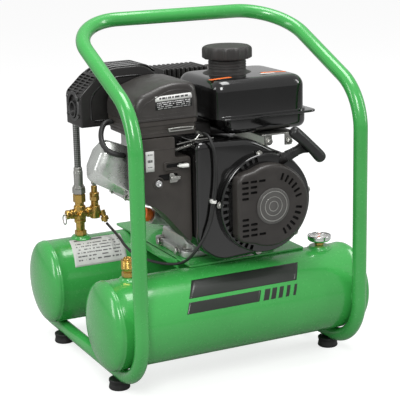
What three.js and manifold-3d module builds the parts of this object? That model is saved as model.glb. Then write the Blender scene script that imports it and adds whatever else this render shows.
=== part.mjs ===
// Hand-carry petrol air compressor: twin tanks under one bent tube frame, with an engine
// that drives a single-cylinder pump behind it. Millimetres, X along the tanks, Y to the
// back, Z up. The starter side faces -Y. The part stands on its four feet at Z = 0.
import * as THREE from "three";
import { mergeVertices } from "three/addons/utils/BufferGeometryUtils.js";
import Module from "manifold-3d";

const wasm = await Module();
wasm.setup();

// ---- driving dimensions ----
const gap = 0.3; // clearance between pieces that touch
const runningGap = 0.5; // clearance round what turns or slides
const sheet = 2.5; // wall of housings and covers

const tubeDiameter = 25.4;
const footHeight = 18.5;
const footDiameter = 38.5;
const frameHalfWidth = 214; // tube centre to the middle
const frontFootY = -132;
const rearFootY = 138;
const railRearY = 196;
const frontBend = 88;
const kneeZ = 494;
const kneeBend = 100;
const handleZ = 621;
const handleY = 46;
const cornerBend = 97;

const tankRadius = 77.9;
const tankHalfLength = 262;
const tankHalfSpacing = 146;
const tankEndDepth = 22;
const tankWall = 2.6;
const bungRadius = 15;
const portRadius = 7.3;
const portSides = 12;

const plateLeft = -76;
const plateRight = 155;
const plateFront = -144;
const plateBack = 192;
const plateThickness = 4;
const plateLip = 20;

const crankX = 51;
const crankHeight = 106; // crank centre above the engine plate
const shaftRadius = 12.5;
const cylinderTilt = 25; // degrees above level, towards -X

const footLeft = -68;
const footRight = 134;
const engineFront = -100;
const engineBack = 24;
const crankcaseRadius = 66;
const housingFront = -176;
const housingRadius = 93;
const starterRadius = 88.5;
const starterFace = -213;
const starterStep = -188;

const panelFront = -158;
const panelBack = -112;
const panelLeft = -176;
const panelRight = -78;

const airCleanerLeft = -182;
const airCleanerRight = -60;
const airCleanerFront = -160;
const airCleanerBack = -37;
const airCleanerBaseZ = 442;
const airCleanerSplitZ = 470;
const airCleanerTopZ = 534;

const fuelLowZ = 430;
const fuelSeamZ = 457;
const fuelTopZ = 527;
const capX = 43;
const capY = -66;
const capRadius = 45;

const mufflerFront = -31;
const mufflerBack = 40;
const mufflerLeft = -225;
const mufflerRight = -72;
const mufflerBottom = 446;
const outletZ = 475;

const pumpY = 158; // pump cylinder centre
const pumpFront = 34;
const pumpBack = 188;
const pumpRadius = 60;
const pumpDeckZ = 462;
const pumpTopZ = 512;

const checkValveX = -168;
const couplerX = -196;
const gaugeX = 186;
const crossoverX = 120;
const drainX = 0;
const drainAngle = 45;

// ---- sizes that follow ----
const tubeRadius = tubeDiameter / 2;
const railZ = footHeight + gap + tubeRadius;
const tankZ = railZ + tubeRadius + gap + tankRadius;
const tankTop = tankZ + tankRadius;
const uprightY = -(tankHalfSpacing + tankRadius + gap + tubeRadius);
const plateZ = tankTop + gap;
const plateTop = plateZ + plateThickness;
const crankZ = plateTop + gap + crankHeight;
const tiltAngle = THREE.MathUtils.degToRad(cylinderTilt);
const cylinderAxis = new THREE.Vector3(-Math.cos(tiltAngle), 0, Math.sin(tiltAngle));
const cylinderSide = new THREE.Vector3(Math.sin(tiltAngle), 0, Math.cos(tiltAngle));
const rise = crankZ - 311; // what stands on the engine follows the crank's height

// ---- materials ----
const finish = (color, roughness, metalness) => new THREE.MeshStandardMaterial({ color, roughness, metalness });
const green = () => finish(0x2fa64f, 0.35, 0.1);
const blackPaint = () => finish(0x111112, 0.25, 0.1);
const blackPlastic = () => finish(0x2c2a28, 0.6, 0);
const castAlloy = () => finish(0xa9aca8, 0.5, 0.8);
const steel = () => finish(0x8d8f90, 0.35, 1);
const brass = () => finish(0xc09a45, 0.35, 1);
const rubber = () => finish(0x1b1b1b, 0.85, 0);
const redPlastic = () => finish(0xd9501e, 0.5, 0);
const paper = () => finish(0xdedbd0, 0.8, 0);

// ---- solids ----
const cleanGeometry = (geometry) => {
  const bare = geometry.index ? geometry.toNonIndexed() : geometry.clone();
  bare.deleteAttribute("normal");
  bare.deleteAttribute("uv");
  return mergeVertices(bare, 1e-3);
};

const toSolid = (geometry) => {
  const merged = cleanGeometry(geometry);
  const index = merged.index.array;
  const kept = [];
  for (let i = 0; i < index.length; i += 3) {
    const [a, b, c] = [index[i], index[i + 1], index[i + 2]];
    if (a !== b && b !== c && c !== a) kept.push(a, b, c);
  }
  const vertProperties = merged.attributes.position.array;
  return new wasm.Manifold(new wasm.Mesh({ numProp: 3, vertProperties, triVerts: new Uint32Array(kept) }));
};

const toGeometry = (solid) => {
  const made = solid.getMesh();
  const geometry = new THREE.BufferGeometry();
  geometry.setAttribute("position", new THREE.BufferAttribute(made.vertProperties, 3));
  geometry.setIndex(new THREE.BufferAttribute(made.triVerts, 1));
  geometry.computeVertexNormals();
  return geometry;
};

const join = (...solids) => solids.reduce((whole, piece) => whole.add(piece));
const cut = (body, ...tools) => tools.reduce((whole, tool) => whole.subtract(tool), body);

// A frame whose Z runs along axis, with its origin at place.
const placed = (geometry, axis, place) => {
  const turn = new THREE.Quaternion().setFromUnitVectors(new THREE.Vector3(0, 0, 1), axis.clone().normalize());
  geometry.applyQuaternion(turn);
  return geometry.translate(place.x, place.y, place.z);
};

const vec = (x, y, z) => new THREE.Vector3(x, y, z);
const alongX = vec(1, 0, 0);
const alongY = vec(0, 1, 0);
const alongZ = vec(0, 0, 1);

const block = (low, high) => {
  const geometry = new THREE.BoxGeometry(high[0] - low[0], high[1] - low[1], high[2] - low[2]);
  return toSolid(geometry.translate((low[0] + high[0]) / 2, (low[1] + high[1]) / 2, (low[2] + high[2]) / 2));
};

// A turned piece: profile is [radius, height] from the axis round to the axis.
const turned = (profile, axis, place, sides = 12) => {
  const points = profile.map(([radius, height]) => new THREE.Vector2(radius, height));
  const geometry = new THREE.LatheGeometry(points, sides).rotateX(Math.PI / 2);
  return toSolid(placed(geometry, axis, place));
};

const rod = (radius, from, to, axis, place, sides = 12) =>
  turned([[0, from], [radius, from], [radius, to], [0, to]], axis, place, sides);

// A stack of plain steps on one axis: [radius, from, to] each.
const stepped = (steps, axis, place, sides = 12) => {
  const profile = [[0, steps[0][1]]];
  for (const [radius, from, to] of steps) profile.push([radius, from], [radius, to]);
  profile.push([0, steps.at(-1)[2]]);
  return turned(profile, axis, place, sides);
};

// An outline with its corners rounded: corners are [x, y] or [x, y, radius].
const rounded = (corners, radius) => {
  const outline = new THREE.Shape();
  const count = corners.length;
  corners.forEach(([x, y, own = radius], i) => {
    const corner = new THREE.Vector2(x, y);
    const before = new THREE.Vector2(...corners[(i + count - 1) % count].slice(0, 2)).sub(corner);
    const after = new THREE.Vector2(...corners[(i + 1) % count].slice(0, 2)).sub(corner);
    const reach = Math.min(own, before.length() * 0.49, after.length() * 0.49);
    const enter = corner.clone().add(before.setLength(reach));
    const leave = corner.clone().add(after.setLength(reach));
    if (i === 0) outline.moveTo(enter.x, enter.y);
    else outline.lineTo(enter.x, enter.y);
    if (reach > 0) outline.quadraticCurveTo(corner.x, corner.y, leave.x, leave.y);
  });
  outline.closePath();
  return outline;
};

// An XY outline raised from one height to another, with an optional bevel at its top.
const raised = (outline, fromZ, toZ, bevel = 0) => {
  const geometry = new THREE.ExtrudeGeometry(outline, {
    depth: toZ - fromZ - 2 * bevel,
    bevelEnabled: bevel > 0,
    bevelThickness: bevel,
    bevelSize: bevel,
    bevelOffset: -bevel,
    bevelSegments: 1,
    curveSegments: 3,
  });
  return toSolid(geometry.translate(0, 0, fromZ + bevel));
};

// An XZ outline carried from a front to a back.
const carried = (outline, frontY, backY, bevel = 0) => {
  const solid = raised(outline, 0, backY - frontY, bevel);
  return solid.rotate([90, 0, 0]).translate([0, backY, 0]);
};

// A path through given stations, each with its own point.
class StationPath extends THREE.Curve {
  constructor(points) {
    super();
    this.points = points;
  }
  getPointAt(u, target = new THREE.Vector3()) {
    const place = u * (this.points.length - 1);
    const i = Math.min(Math.floor(place), this.points.length - 2);
    return target.lerpVectors(this.points[i], this.points[i + 1], place - i);
  }
  getPoint(t, target) {
    return this.getPointAt(t, target);
  }
  getTangentAt(u, target = new THREE.Vector3()) {
    const last = this.points.length - 1;
    const i = Math.round(u * last);
    const ahead = this.points[Math.min(i + 1, last)];
    const behind = this.points[Math.max(i - 1, 0)];
    return target.subVectors(ahead, behind).normalize();
  }
}

const circle = (radius, sides) => {
  const outline = new THREE.Shape();
  for (let i = 0; i < sides; i++) {
    const angle = (i / sides) * 2 * Math.PI;
    const [x, y] = [radius * Math.cos(angle), radius * Math.sin(angle)];
    if (i === 0) outline.moveTo(x, y);
    else outline.lineTo(x, y);
  }
  outline.closePath();
  return outline;
};

const tube = (points, radius, sides = 12) =>
  toSolid(
    new THREE.ExtrudeGeometry(circle(radius, sides), {
      extrudePath: new StationPath(points),
      steps: points.length - 1,
      bevelEnabled: false,
    }),
  );

// The stations of a polyline whose inner corners are round: corners are {at, bend}.
const bentRoute = (corners, stepsPerBend = 8) => {
  const stations = [corners[0].at.clone()];
  for (let i = 1; i < corners.length - 1; i++) {
    const { at, bend } = corners[i];
    const back = corners[i - 1].at.clone().sub(at).normalize();
    const ahead = corners[i + 1].at.clone().sub(at).normalize();
    const half = Math.acos(back.dot(ahead)) / 2;
    const start = at.clone().addScaledVector(back, bend / Math.tan(half));
    const centre = at.clone().add(back.clone().add(ahead).setLength(bend / Math.sin(half)));
    const first = start.clone().sub(centre).divideScalar(bend);
    const second = back.clone().negate();
    const sweep = Math.PI - 2 * half;
    for (let k = 0; k <= stepsPerBend; k++) {
      const angle = (sweep * k) / stepsPerBend;
      const arm = first.clone().multiplyScalar(Math.cos(angle)).addScaledVector(second, Math.sin(angle));
      stations.push(centre.clone().addScaledVector(arm, bend));
    }
  }
  stations.push(corners.at(-1).at.clone());
  return stations;
};

const part = new THREE.Group();
const nodes = {};

const addNode = (name, solid, material) => {
  const mesh = new THREE.Mesh(toGeometry(solid), material);
  mesh.name = name;
  nodes[name] = solid;
  part.add(mesh);
};

// ---- frame and feet ----
const frameSide = (side) => [
  { at: vec(side * frameHalfWidth, railRearY, railZ), bend: 0 },
  { at: vec(side * frameHalfWidth, uprightY, railZ), bend: frontBend },
  { at: vec(side * frameHalfWidth, uprightY, kneeZ), bend: kneeBend },
  { at: vec(side * frameHalfWidth, handleY, handleZ), bend: cornerBend },
];

const frameTube = () => {
  const route = [...frameSide(-1), ...frameSide(1).reverse()];
  return tube(bentRoute(route, 6), tubeRadius, 10);
};
addNode("frame_tube", frameTube(), green());

const footProfile = [
  [0, 0], [footDiameter * 0.44, 0], [footDiameter / 2, 3], [footDiameter / 2, footHeight - 4],
  [footDiameter * 0.46, footHeight], [0, footHeight],
];
for (const [side, sideName] of [[-1, "left"], [1, "right"]]) {
  for (const [y, endName] of [[frontFootY, "front"], [rearFootY, "rear"]]) {
    const foot = turned(footProfile, alongZ, vec(side * frameHalfWidth, y, 0), 16);
    addNode(`foot_${endName}_${sideName}`, foot, rubber());
  }
}

// ---- tanks ----
const tankStart = tankHalfLength - tankEndDepth;
const tankShape = (inset) => {
  const radius = tankRadius - inset;
  const depth = tankEndDepth - inset;
  const profile = [];
  const endSteps = 4;
  for (let k = 0; k <= endSteps; k++) {
    const angle = (Math.PI / 2) * (k / endSteps);
    profile.push([radius * Math.sin(angle), -tankStart - depth * Math.cos(angle)]);
  }
  for (let k = endSteps; k >= 0; k--) {
    const angle = (Math.PI / 2) * (k / endSteps);
    profile.push([radius * Math.sin(angle), tankStart + depth * Math.cos(angle)]);
  }
  profile[0][0] = 0;
  profile.at(-1)[0] = 0;
  return profile;
};
const tankPlace = (side) => vec(0, side * tankHalfSpacing, tankZ);

// A port is a boss on the tank's wall with a hole through it, pointing along its axis.
const port = (place, axis, radius, height) => ({
  boss: rod(radius, tankRadius - 6, tankRadius + height, axis, place, 14),
  hole: rod(portRadius, tankRadius - 12, tankRadius + height + 5, axis, place, portSides),
});
const drainAxis = (side) => {
  const angle = THREE.MathUtils.degToRad(drainAngle);
  return vec(0, -side * Math.sin(angle), -Math.cos(angle));
};

const bossHeight = 4;
const tank = (side, topPorts) => {
  const centre = tankPlace(side);
  const ports = topPorts.map(([x, radius]) => port(vec(x, centre.y, centre.z), alongZ, radius, bossHeight));
  ports.push(port(vec(crossoverX, centre.y, centre.z), vec(0, -side, 0), bungRadius, bossHeight));
  ports.push(port(vec(drainX, centre.y, centre.z), drainAxis(side), bungRadius, bossHeight));
  const outer = turned(tankShape(0), alongX, centre, 20);
  const inner = turned(tankShape(tankWall), alongX, centre, 20);
  const bosses = ports.map((one) => cut(one.boss, inner));
  return cut(join(cut(outer, inner), ...bosses), ...ports.map((one) => one.hole));
};
addNode("front_tank", tank(-1, [[gaugeX, 21], [couplerX, bungRadius]]), green());
addNode("rear_tank", tank(1, [[checkValveX, bungRadius + 2]]), green());

const stemRadius = portRadius * Math.cos(Math.PI / portSides) - gap;
const stemReach = 9; // how far a fitting's stem enters its port
const bossTop = tankRadius + bossHeight;
const crossover = () => {
  const reach = tankHalfSpacing - bossTop;
  const nut = (side) => rod(12, reach - 14, reach - gap, vec(0, side, 0), vec(crossoverX, 0, tankZ), 6);
  const pipe = rod(stemRadius, -reach - stemReach, reach + stemReach, alongY, vec(crossoverX, 0, tankZ));
  return join(pipe, nut(1), nut(-1));
};
addNode("crossover_pipe", crossover(), steel());

// ---- engine plate ----
const enginePlate = () => {
  const deck = block([plateLeft, plateFront, plateZ], [plateRight, plateBack, plateTop]);
  const lipHalf = tankHalfSpacing - Math.sqrt(tankRadius ** 2 - (tankRadius - plateLip) ** 2) - 4;
  const lip = (x) => block([x, -lipHalf, plateZ - plateLip + 4], [x + plateThickness, lipHalf, plateTop]);
  return join(deck, lip(plateLeft), lip(plateRight - plateThickness));
};
addNode("engine_plate", enginePlate(), green());

// ---- engine: crankcase, cylinder, head ----
const crankAt = (y) => vec(crankX, y, crankZ);
const crankMiddle = (engineFront + engineBack) / 2;
const onCylinder = (along, across, y) =>
  crankAt(y).addScaledVector(cylinderAxis, along).addScaledVector(cylinderSide, across);
const bore = 35;
const headStart = 150;

// A block in the cylinder's own directions: along the bore, across it, and along the crank.
const tilted = (along, across, y, bevel = 0) => {
  const outline = rounded([[across[0], y[0]], [across[1], y[0]], [across[1], y[1]], [across[0], y[1]]], 0);
  const solid = raised(outline, along[0], along[1], bevel);
  const basis = new THREE.Matrix4().makeBasis(cylinderSide, vec(0, 1, 0), cylinderAxis).setPosition(crankAt(0));
  return solid.transform(basis.elements);
};

const crankcase = () => {
  const foot = block([footLeft, engineFront - 5, plateTop + gap], [footRight, engineBack + 4, plateTop + 30]);
  const web = block([footLeft + 44, engineFront + 6, plateTop + 20], [footRight - 22, engineBack - 6, crankZ]);
  const body = rod(crankcaseRadius, engineFront, engineBack, alongY, crankAt(0), 20);
  const finCount = 3;
  const steps = [[46, 30, 62]];
  const pitch = (headStart - 64) / finCount;
  for (let i = 0; i < finCount; i++) {
    const from = 64 + i * pitch;
    steps.push([41, i === 0 ? 62 : from - pitch * 0.55, from], [55, from, from + pitch * 0.45]);
  }
  const barrel = stepped(steps, cylinderAxis, onCylinder(0, -8, crankMiddle));
  const neckAxis = vec(-0.94, 0, 0.34);
  const neck = rod(11, -76, 6, neckAxis, vec(-86, -15, 267 + rise), 16);
  const boreSpace = rod(bore, 20, headStart + 10, cylinderAxis, onCylinder(0, -8, crankMiddle));
  const chamber = rod(52, engineFront + 8, engineBack + 5, alongY, crankAt(0), 20);
  const shaftHole = rod(shaftRadius + runningGap, engineFront - 5, engineFront + 20, alongY, crankAt(0));
  return cut(join(foot, web, body, barrel, neck), boreSpace, chamber, shaftHole);
};
addNode("crankcase", crankcase(), castAlloy());

const crankcaseCover = () => {
  const flange = [crankcaseRadius, engineBack + gap, engineBack + 5];
  const disc = stepped([flange, [50, engineBack + 5, pumpFront - gap]], alongY, crankAt(0), 20);
  return cut(disc, rod(shaftRadius + runningGap, engineBack - 5, pumpFront + 5, alongY, crankAt(0)));
};
addNode("crankcase_cover", crankcaseCover(), castAlloy());

// The crank's throw is drawn with its webs; the shaft runs on through the pump.
const throwRadius = 27;
const shaftFront = -166;
const shaftRear = 214;
const crankshaft = () => {
  const webAt = (y) => {
    const outline = rounded([
      [-20, throwRadius + 16], [20, throwRadius + 16], [36, -24], [18, -42], [-18, -42], [-36, -24],
    ], 8);
    return carried(outline, y, y + 12).translate([crankX, 0, crankZ]);
  };
  const pin = rod(15, crankMiddle - 18, crankMiddle + 18, alongY, vec(crankX, 0, crankZ + throwRadius), 20);
  const front = rod(shaftRadius, shaftFront, crankMiddle - 20, alongY, crankAt(0));
  const rear = rod(shaftRadius, crankMiddle + 20, shaftRear, alongY, crankAt(0));
  return join(front, rear, pin, webAt(crankMiddle - 30), webAt(crankMiddle + 18));
};
addNode("crankshaft", crankshaft(), steel());

const flywheelRadius = 84;
const flywheelFront = -154;
const flywheelBack = -112;
const flywheel = () => {
  const rim = [flywheelRadius, flywheelBack - 12, flywheelBack];
  const disc = stepped([[22, flywheelBack - 16, flywheelBack - 12], rim], alongY, crankAt(0), 20);
  const hub = rod(22, flywheelFront, flywheelBack - 10, alongY, crankAt(0));
  const cupWall = rod(34, flywheelFront, flywheelBack - 11, alongY, crankAt(0));
  const cupSpace = rod(31, flywheelFront - 1, flywheelBack - 14, alongY, crankAt(0));
  const blades = [];
  const bladeCount = 8;
  for (let i = 0; i < bladeCount; i++) {
    const angle = (360 * i) / bladeCount;
    const blade = block([46, flywheelFront + 4, -1.5], [flywheelRadius - 2, flywheelBack - 11, 1.5]);
    blades.push(blade.rotate([0, angle, 0]).translate([crankX, 0, crankZ]));
  }
  const whole = join(cut(cupWall, cupSpace), disc, hub, ...blades);
  return cut(whole, rod(shaftRadius + gap, flywheelFront - 5, flywheelBack + 5, alongY, crankAt(0)));
};
addNode("flywheel", flywheel(), castAlloy());

const headEnd = 206;
const cylinderHead = () => {
  const body = tilted([headStart + gap, headEnd], [-80, 34], [-100, 16], 6);
  const grooves = [];
  for (let i = 0; i < 4; i++) {
    const from = headStart + 10 + i * 11;
    grooves.push(tilted([from, from + 5], [18, 40], [-110, 20]));
    grooves.push(tilted([from, from + 5], [-85, -62], [-110, 20]));
  }
  const exhaust = block([-134, -14, 392 + rise], [-96, 14, 430 + rise]);
  const intake = rod(17, -112, -92, alongY, vec(-108, 0, 392 + rise), 20);
  return join(cut(body, ...grooves), exhaust, intake);
};
addNode("cylinder_head", cylinderHead(), castAlloy());

const rockerCover = () => {
  const flange = tilted([headEnd + gap, headEnd + 8], [-82, 12], [-106, -36], 2);
  const box = tilted([headEnd + 6, headEnd + 78], [-76, 6], [-101, -40], 16);
  return join(flange, box);
};
addNode("rocker_cover", rockerCover(), castAlloy());

const plugAt = vec(-112, 0, 331 + rise);
const sparkPlug = () =>
  stepped([[7, 100 + gap, 106], [10, 106, 114], [7, 114, 136]], vec(0, -1, 0), plugAt, 16);
addNode("spark_plug", sparkPlug(), steel());

// ---- engine: blower housing, starter ----
const arcPoints = (radius, from, to, count) => {
  const points = [];
  for (let k = 0; k <= count; k++) {
    const angle = THREE.MathUtils.degToRad(from + ((to - from) * k) / count);
    points.push([crankX + radius * Math.cos(angle), crankZ + radius * Math.sin(angle), 0]);
  }
  return points;
};
const housingLeft = panelRight + 2;
const housingOutline = (inset) => {
  const arc = arcPoints(housingRadius - inset, -84, 72, 11);
  return rounded([
    ...arc,
    [34, 424 + rise - inset, 12], [housingLeft + inset, 428 + rise - inset, 10],
    [housingLeft + inset, 244 + rise + inset * 0.5, 14], [-34 + inset * 0.4, plateTop + 8 + inset, 10],
  ], 0);
};
const blowerHousing = () => {
  const shell = carried(housingOutline(0), housingFront, -106, 4);
  const space = carried(housingOutline(sheet), housingFront + sheet, -100);
  const eye = rod(76, housingFront - 5, housingFront + 10, alongY, crankAt(0), 20);
  return cut(shell, space, eye);
};
addNode("blower_housing", blowerHousing(), blackPaint());

const starterOutline = (inset) => {
  const left = crankX - 67;
  const arc = arcPoints(73 - inset, -118, 118, 10);
  return rounded([
    ...arc,
    [left + inset, crankZ + 58 - inset, 16],
    [left + inset, crankZ - 58 + inset, 16],
  ], 0);
};
const ropeDirection = vec(0.548, -0.652, 0.523).normalize();
const ropeGuide = vec(89, -192, 389 + rise);
const recoilCover = () => {
  const ring = rod(starterRadius - 3, starterStep - 3, starterStep, alongY, crankAt(0), 20);
  const wall = rod(starterRadius, starterStep, housingFront - gap, alongY, crankAt(0), 20);
  const face = carried(starterOutline(0), starterFace, starterStep + 2, 8);
  const ringSpace = rod(starterRadius - sheet, starterStep + sheet, housingFront + 5, alongY, crankAt(0), 20);
  const faceSpace = carried(starterOutline(sheet + 2), starterFace + sheet, starterStep + 6);
  const guide = rod(8, -17, 4, ropeDirection, ropeGuide, 12);
  const guideHole = rod(4.5, -30, 8, ropeDirection, ropeGuide, 12);
  const whole = cut(join(ring, wall, face, guide), ringSpace, faceSpace);
  const post = rod(3.4, starterFace + 1, starterStep + 5, alongY, crankAt(0), 12);
  return join(cut(whole, guideHole), post);
};
addNode("recoil_cover", recoilCover(), blackPaint());

const reelRadius = 45;
const starterReel = () => {
  const [front, back] = [starterFace + 8, starterStep + 6];
  const profile = [
    [4, front], [reelRadius + 6, front], [reelRadius + 6, front + 3], [reelRadius - 4, front + 4],
    [reelRadius - 4, back - 4], [reelRadius + 6, back - 3], [reelRadius + 6, back], [4, back], [4, front],
  ];
  return turned(profile, alongY, crankAt(0), 20);
};
addNode("starter_reel", starterReel(), blackPlastic());

const gripAxis = vec(0.743, 0.131, -0.657).normalize();
const gripCentre = ropeGuide.clone().addScaledVector(ropeDirection, 46);
const starterGrip = () => {
  const barProfile = [
    [0, -47], [8, -46], [11, -38], [11.5, -20], [11, 0], [11.5, 20], [11, 38], [8, 46], [0, 47],
  ];
  const bar = turned(barProfile, gripAxis, gripCentre, 14);
  const stem = turned([[0, 4 + gap], [8.5, 4 + gap], [8, 22], [11, 44], [0, 44]], ropeDirection, ropeGuide);
  return join(bar, stem);
};
addNode("starter_grip", starterGrip(), rubber());

// ---- engine: control panel and what is on it ----
const panelOutline = (inset) => rounded([
  [panelLeft + inset, airCleanerBaseZ - 1 - inset + rise], [-107 - inset, airCleanerBaseZ - 1 - inset + rise],
  [-107 - inset, 404 - inset + rise], [panelRight - inset, 404 - inset + rise],
  [panelRight - inset, 247 + inset + rise], [-136 + inset * 0.4, 316 + inset * 1.4 + rise],
  [panelLeft + inset, 337 + inset + rise],
], 8);
const chokeZ = 391 + rise;
const fuelLeverZ = 372 + rise;
const chokeX = -97;
const fuelLeverX = -113;
const leverSlot = (x, z) => block([x - 26, panelFront - 5, z - 2.5], [x + 5, panelFront + 6, z + 2.5]);
const controlPanel = () => {
  const shell = carried(panelOutline(0), panelFront, panelBack);
  const space = carried(panelOutline(sheet), panelFront + sheet, panelBack + 5);
  return cut(shell, space, leverSlot(chokeX, chokeZ), leverSlot(fuelLeverX, fuelLeverZ));
};
addNode("control_panel", controlPanel(), blackPlastic());

const slideLever = (x, z, tipHeight) => {
  const stem = block([x - 2, panelFront - 7, z - 1.6], [x + 2, panelFront + 8, z + 1.6]);
  const corners = [
    [x - 9, z - tipHeight], [x + 9, z - tipHeight], [x + 9, z + tipHeight], [x - 9, z + tipHeight],
  ];
  return join(stem, carried(rounded(corners, 2.5), panelFront - 14, panelFront - 5, 1));
};
addNode("choke_lever", slideLever(chokeX, chokeZ, 3), paper());
addNode("fuel_valve_lever", slideLever(fuelLeverX, fuelLeverZ, 8), steel());

const carburettor = () => {
  const body = block([-140, -148, 376 + rise], [-118, -113, 412 + rise]);
  const throat = rod(14, 374 + rise, 436 + rise, alongZ, vec(-129, -134, 0), 16);
  const bowl = stepped([[12, 346, 350], [15, 350, 378]].map(([r, a, b]) => [r, a + rise, b + rise]),
    alongZ, vec(-129, -133, 0), 16);
  return join(body, throat, bowl);
};
addNode("carburettor", carburettor(), castAlloy());

const throttlePivot = vec(-42, -112, 0);
const throttleLever = () => {
  const outline = rounded([[-47, -106], [-37, -106], [-37, -116], [-45, -142], [-54, -142], [-47, -116]], 2);
  const arm = raised(outline, 432 + rise, 434.5 + rise);
  return join(arm, rod(4, 428 + gap + rise, 436 + rise, alongZ, throttlePivot, 12));
};
addNode("throttle_lever", throttleLever(), steel());

// ---- engine: air cleaner ----
const cleanerPlan = (inset) => rounded([
  [airCleanerLeft + inset, airCleanerFront + inset], [airCleanerRight - inset, airCleanerFront + inset],
  [airCleanerRight - inset, airCleanerBack - inset], [airCleanerLeft + inset, airCleanerBack - inset],
], 18 - inset * 0.5);
const airCleanerBase = () => {
  const tray = raised(cleanerPlan(3), airCleanerBaseZ + rise, airCleanerSplitZ + rise - gap);
  const space = raised(cleanerPlan(3 + sheet), airCleanerBaseZ + sheet + rise, airCleanerSplitZ + rise + 5);
  const throatLow = airCleanerBaseZ + rise - 5;
  const throat = rod(11, throatLow, throatLow + 13, alongZ, vec(-129, -134, 0));
  return cut(tray, space, throat);
};
addNode("air_cleaner_base", airCleanerBase(), blackPlastic());

const cleanerDome = (inset) => {
  const [left, right] = [airCleanerLeft + inset, airCleanerRight - inset];
  const foot = airCleanerSplitZ + rise + (inset ? -5 : 0);
  const profile = rounded([
    [left, foot, 0], [right, foot, 0], [right, 486 + rise, 2],
    [right - 4, airCleanerTopZ - 3 + rise - inset, 14], [-112, airCleanerTopZ + rise - inset, 40],
    [left + 8, 512 + rise - inset, 24], [left, 490 + rise, 2],
  ], 0);
  const plan = raised(cleanerPlan(inset), foot - 1, airCleanerTopZ + rise + 5);
  return carried(profile, airCleanerFront + inset, airCleanerBack - inset).intersect(plan);
};
const airCleanerCover = () => cut(cleanerDome(0), cleanerDome(sheet));
addNode("air_cleaner_cover", airCleanerCover(), blackPlastic());

const filterElement = () => {
  const outside = raised(cleanerPlan(14), airCleanerBaseZ + sheet + gap + rise, airCleanerSplitZ + 22 + rise);
  const inside = raised(cleanerPlan(34), airCleanerBaseZ - 5 + rise, airCleanerSplitZ + 30 + rise);
  return cut(outside, inside);
};
addNode("filter_element", filterElement(), paper());

const latchZ = airCleanerSplitZ - 18.5 + rise;
const airCleanerLatch = () => {
  const front = airCleanerFront + 3 - gap;
  const pivot = rod(1.5, -22, 22, alongX, vec(-97, front - 2.4, latchZ), 8);
  const arm = block([-119, front - 4, latchZ + 0.5], [-75, front - 1, latchZ + 2.5]);
  return join(pivot, arm);
};
addNode("air_cleaner_latch", airCleanerLatch(), steel());

const hoseRadius = 4.5;
const breatherHose = () => {
  const points = [
    vec(-179.4, -62, 459), vec(-189, -62, 459), vec(-198, -66, 455), vec(-205, -72, 446), vec(-209, -80, 436),
    vec(-211, -93, 426), vec(-205, -106, 416), vec(-194, -112, 411), vec(-183, -110, 408), vec(-177, -100, 406),
  ].map((point) => point.setZ(point.z + rise));
  return cut(tube(points, hoseRadius, 10), tilted([headEnd + 20, headEnd + 56], [-34, 4], [-101 - gap, -60]));
};
addNode("breather_hose", breatherHose(), rubber());

// ---- engine: fuel tank ----
const fuelPlan = (left, right, front, back, radius) =>
  rounded([[left, front], [right, front], [right, back], [left, back]], radius);
const neckRadius = 34;
const fuelTank = () => {
  const upper = raised(fuelPlan(-28, 155, -159, 4, 20), fuelSeamZ + rise - 2, fuelTopZ + rise, 12);
  const lowerBody = raised(fuelPlan(-2, 158, -156, -4, 18), fuelLowZ + rise, fuelSeamZ + rise + 4, 6);
  const flange = raised(fuelPlan(-18, 174, -163, 8, 16), fuelSeamZ + rise, fuelSeamZ + rise + 4);
  const collar = block([-22, -153, fuelSeamZ + rise + 3], [149, -2, fuelSeamZ + rise + 30]);
  const neckTube = rod(neckRadius, fuelTopZ - 6, fuelTopZ + 24, alongZ, vec(capX, capY, rise), 24);
  const space = raised(fuelPlan(4, 143, -152, -3, 16), fuelLowZ + 3 + rise, fuelTopZ - 3 + rise, 8);
  const neckHole = rod(neckRadius - 5, fuelTopZ - 20, fuelTopZ + 30, alongZ, vec(capX, capY, rise), 24);
  return cut(join(upper, lowerBody, flange, collar, neckTube), space, neckHole);
};
addNode("fuel_tank", fuelTank(), blackPaint());

const capBottom = fuelTopZ + 25 + rise;
const fuelCap = () => {
  const lobes = 12;
  const outline = new THREE.Shape();
  const steps = lobes * 3;
  for (let i = 0; i < steps; i++) {
    const angle = (2 * Math.PI * i) / steps;
    const radius = capRadius - 1.6 + 1.6 * Math.cos(lobes * angle);
    const [x, y] = [capX + radius * Math.cos(angle), capY + radius * Math.sin(angle)];
    if (i === 0) outline.moveTo(x, y);
    else outline.lineTo(x, y);
  }
  outline.closePath();
  const skirt = raised(outline, capBottom, capBottom + 20);
  const crownProfile = [[0, 19], [capRadius - 5, 19], [capRadius - 9, 23], [0, 25]];
  const crown = turned(crownProfile, alongZ, vec(capX, capY, capBottom), 20);
  const plug = rod(neckRadius - 5 - runningGap - 1, -14, 5, alongZ, vec(capX, capY, capBottom), 24);
  return join(skirt, crown, plug);
};
addNode("fuel_cap", fuelCap(), rubber());

const tankBracket = () => {
  const shelf = block([58, -164, fuelLowZ - 6 + rise], [126, -58, fuelLowZ - gap + rise]);
  const legBottom = crankZ + crankcaseRadius + 3;
  const leg = block([58, -64, legBottom], [126, -58, fuelLowZ - 3 + rise]);
  const foot = block([38, -92, legBottom - 2.5], [72, -58, legBottom]);
  return join(shelf, leg, foot);
};
addNode("fuel_tank_bracket", tankBracket(), steel());

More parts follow.
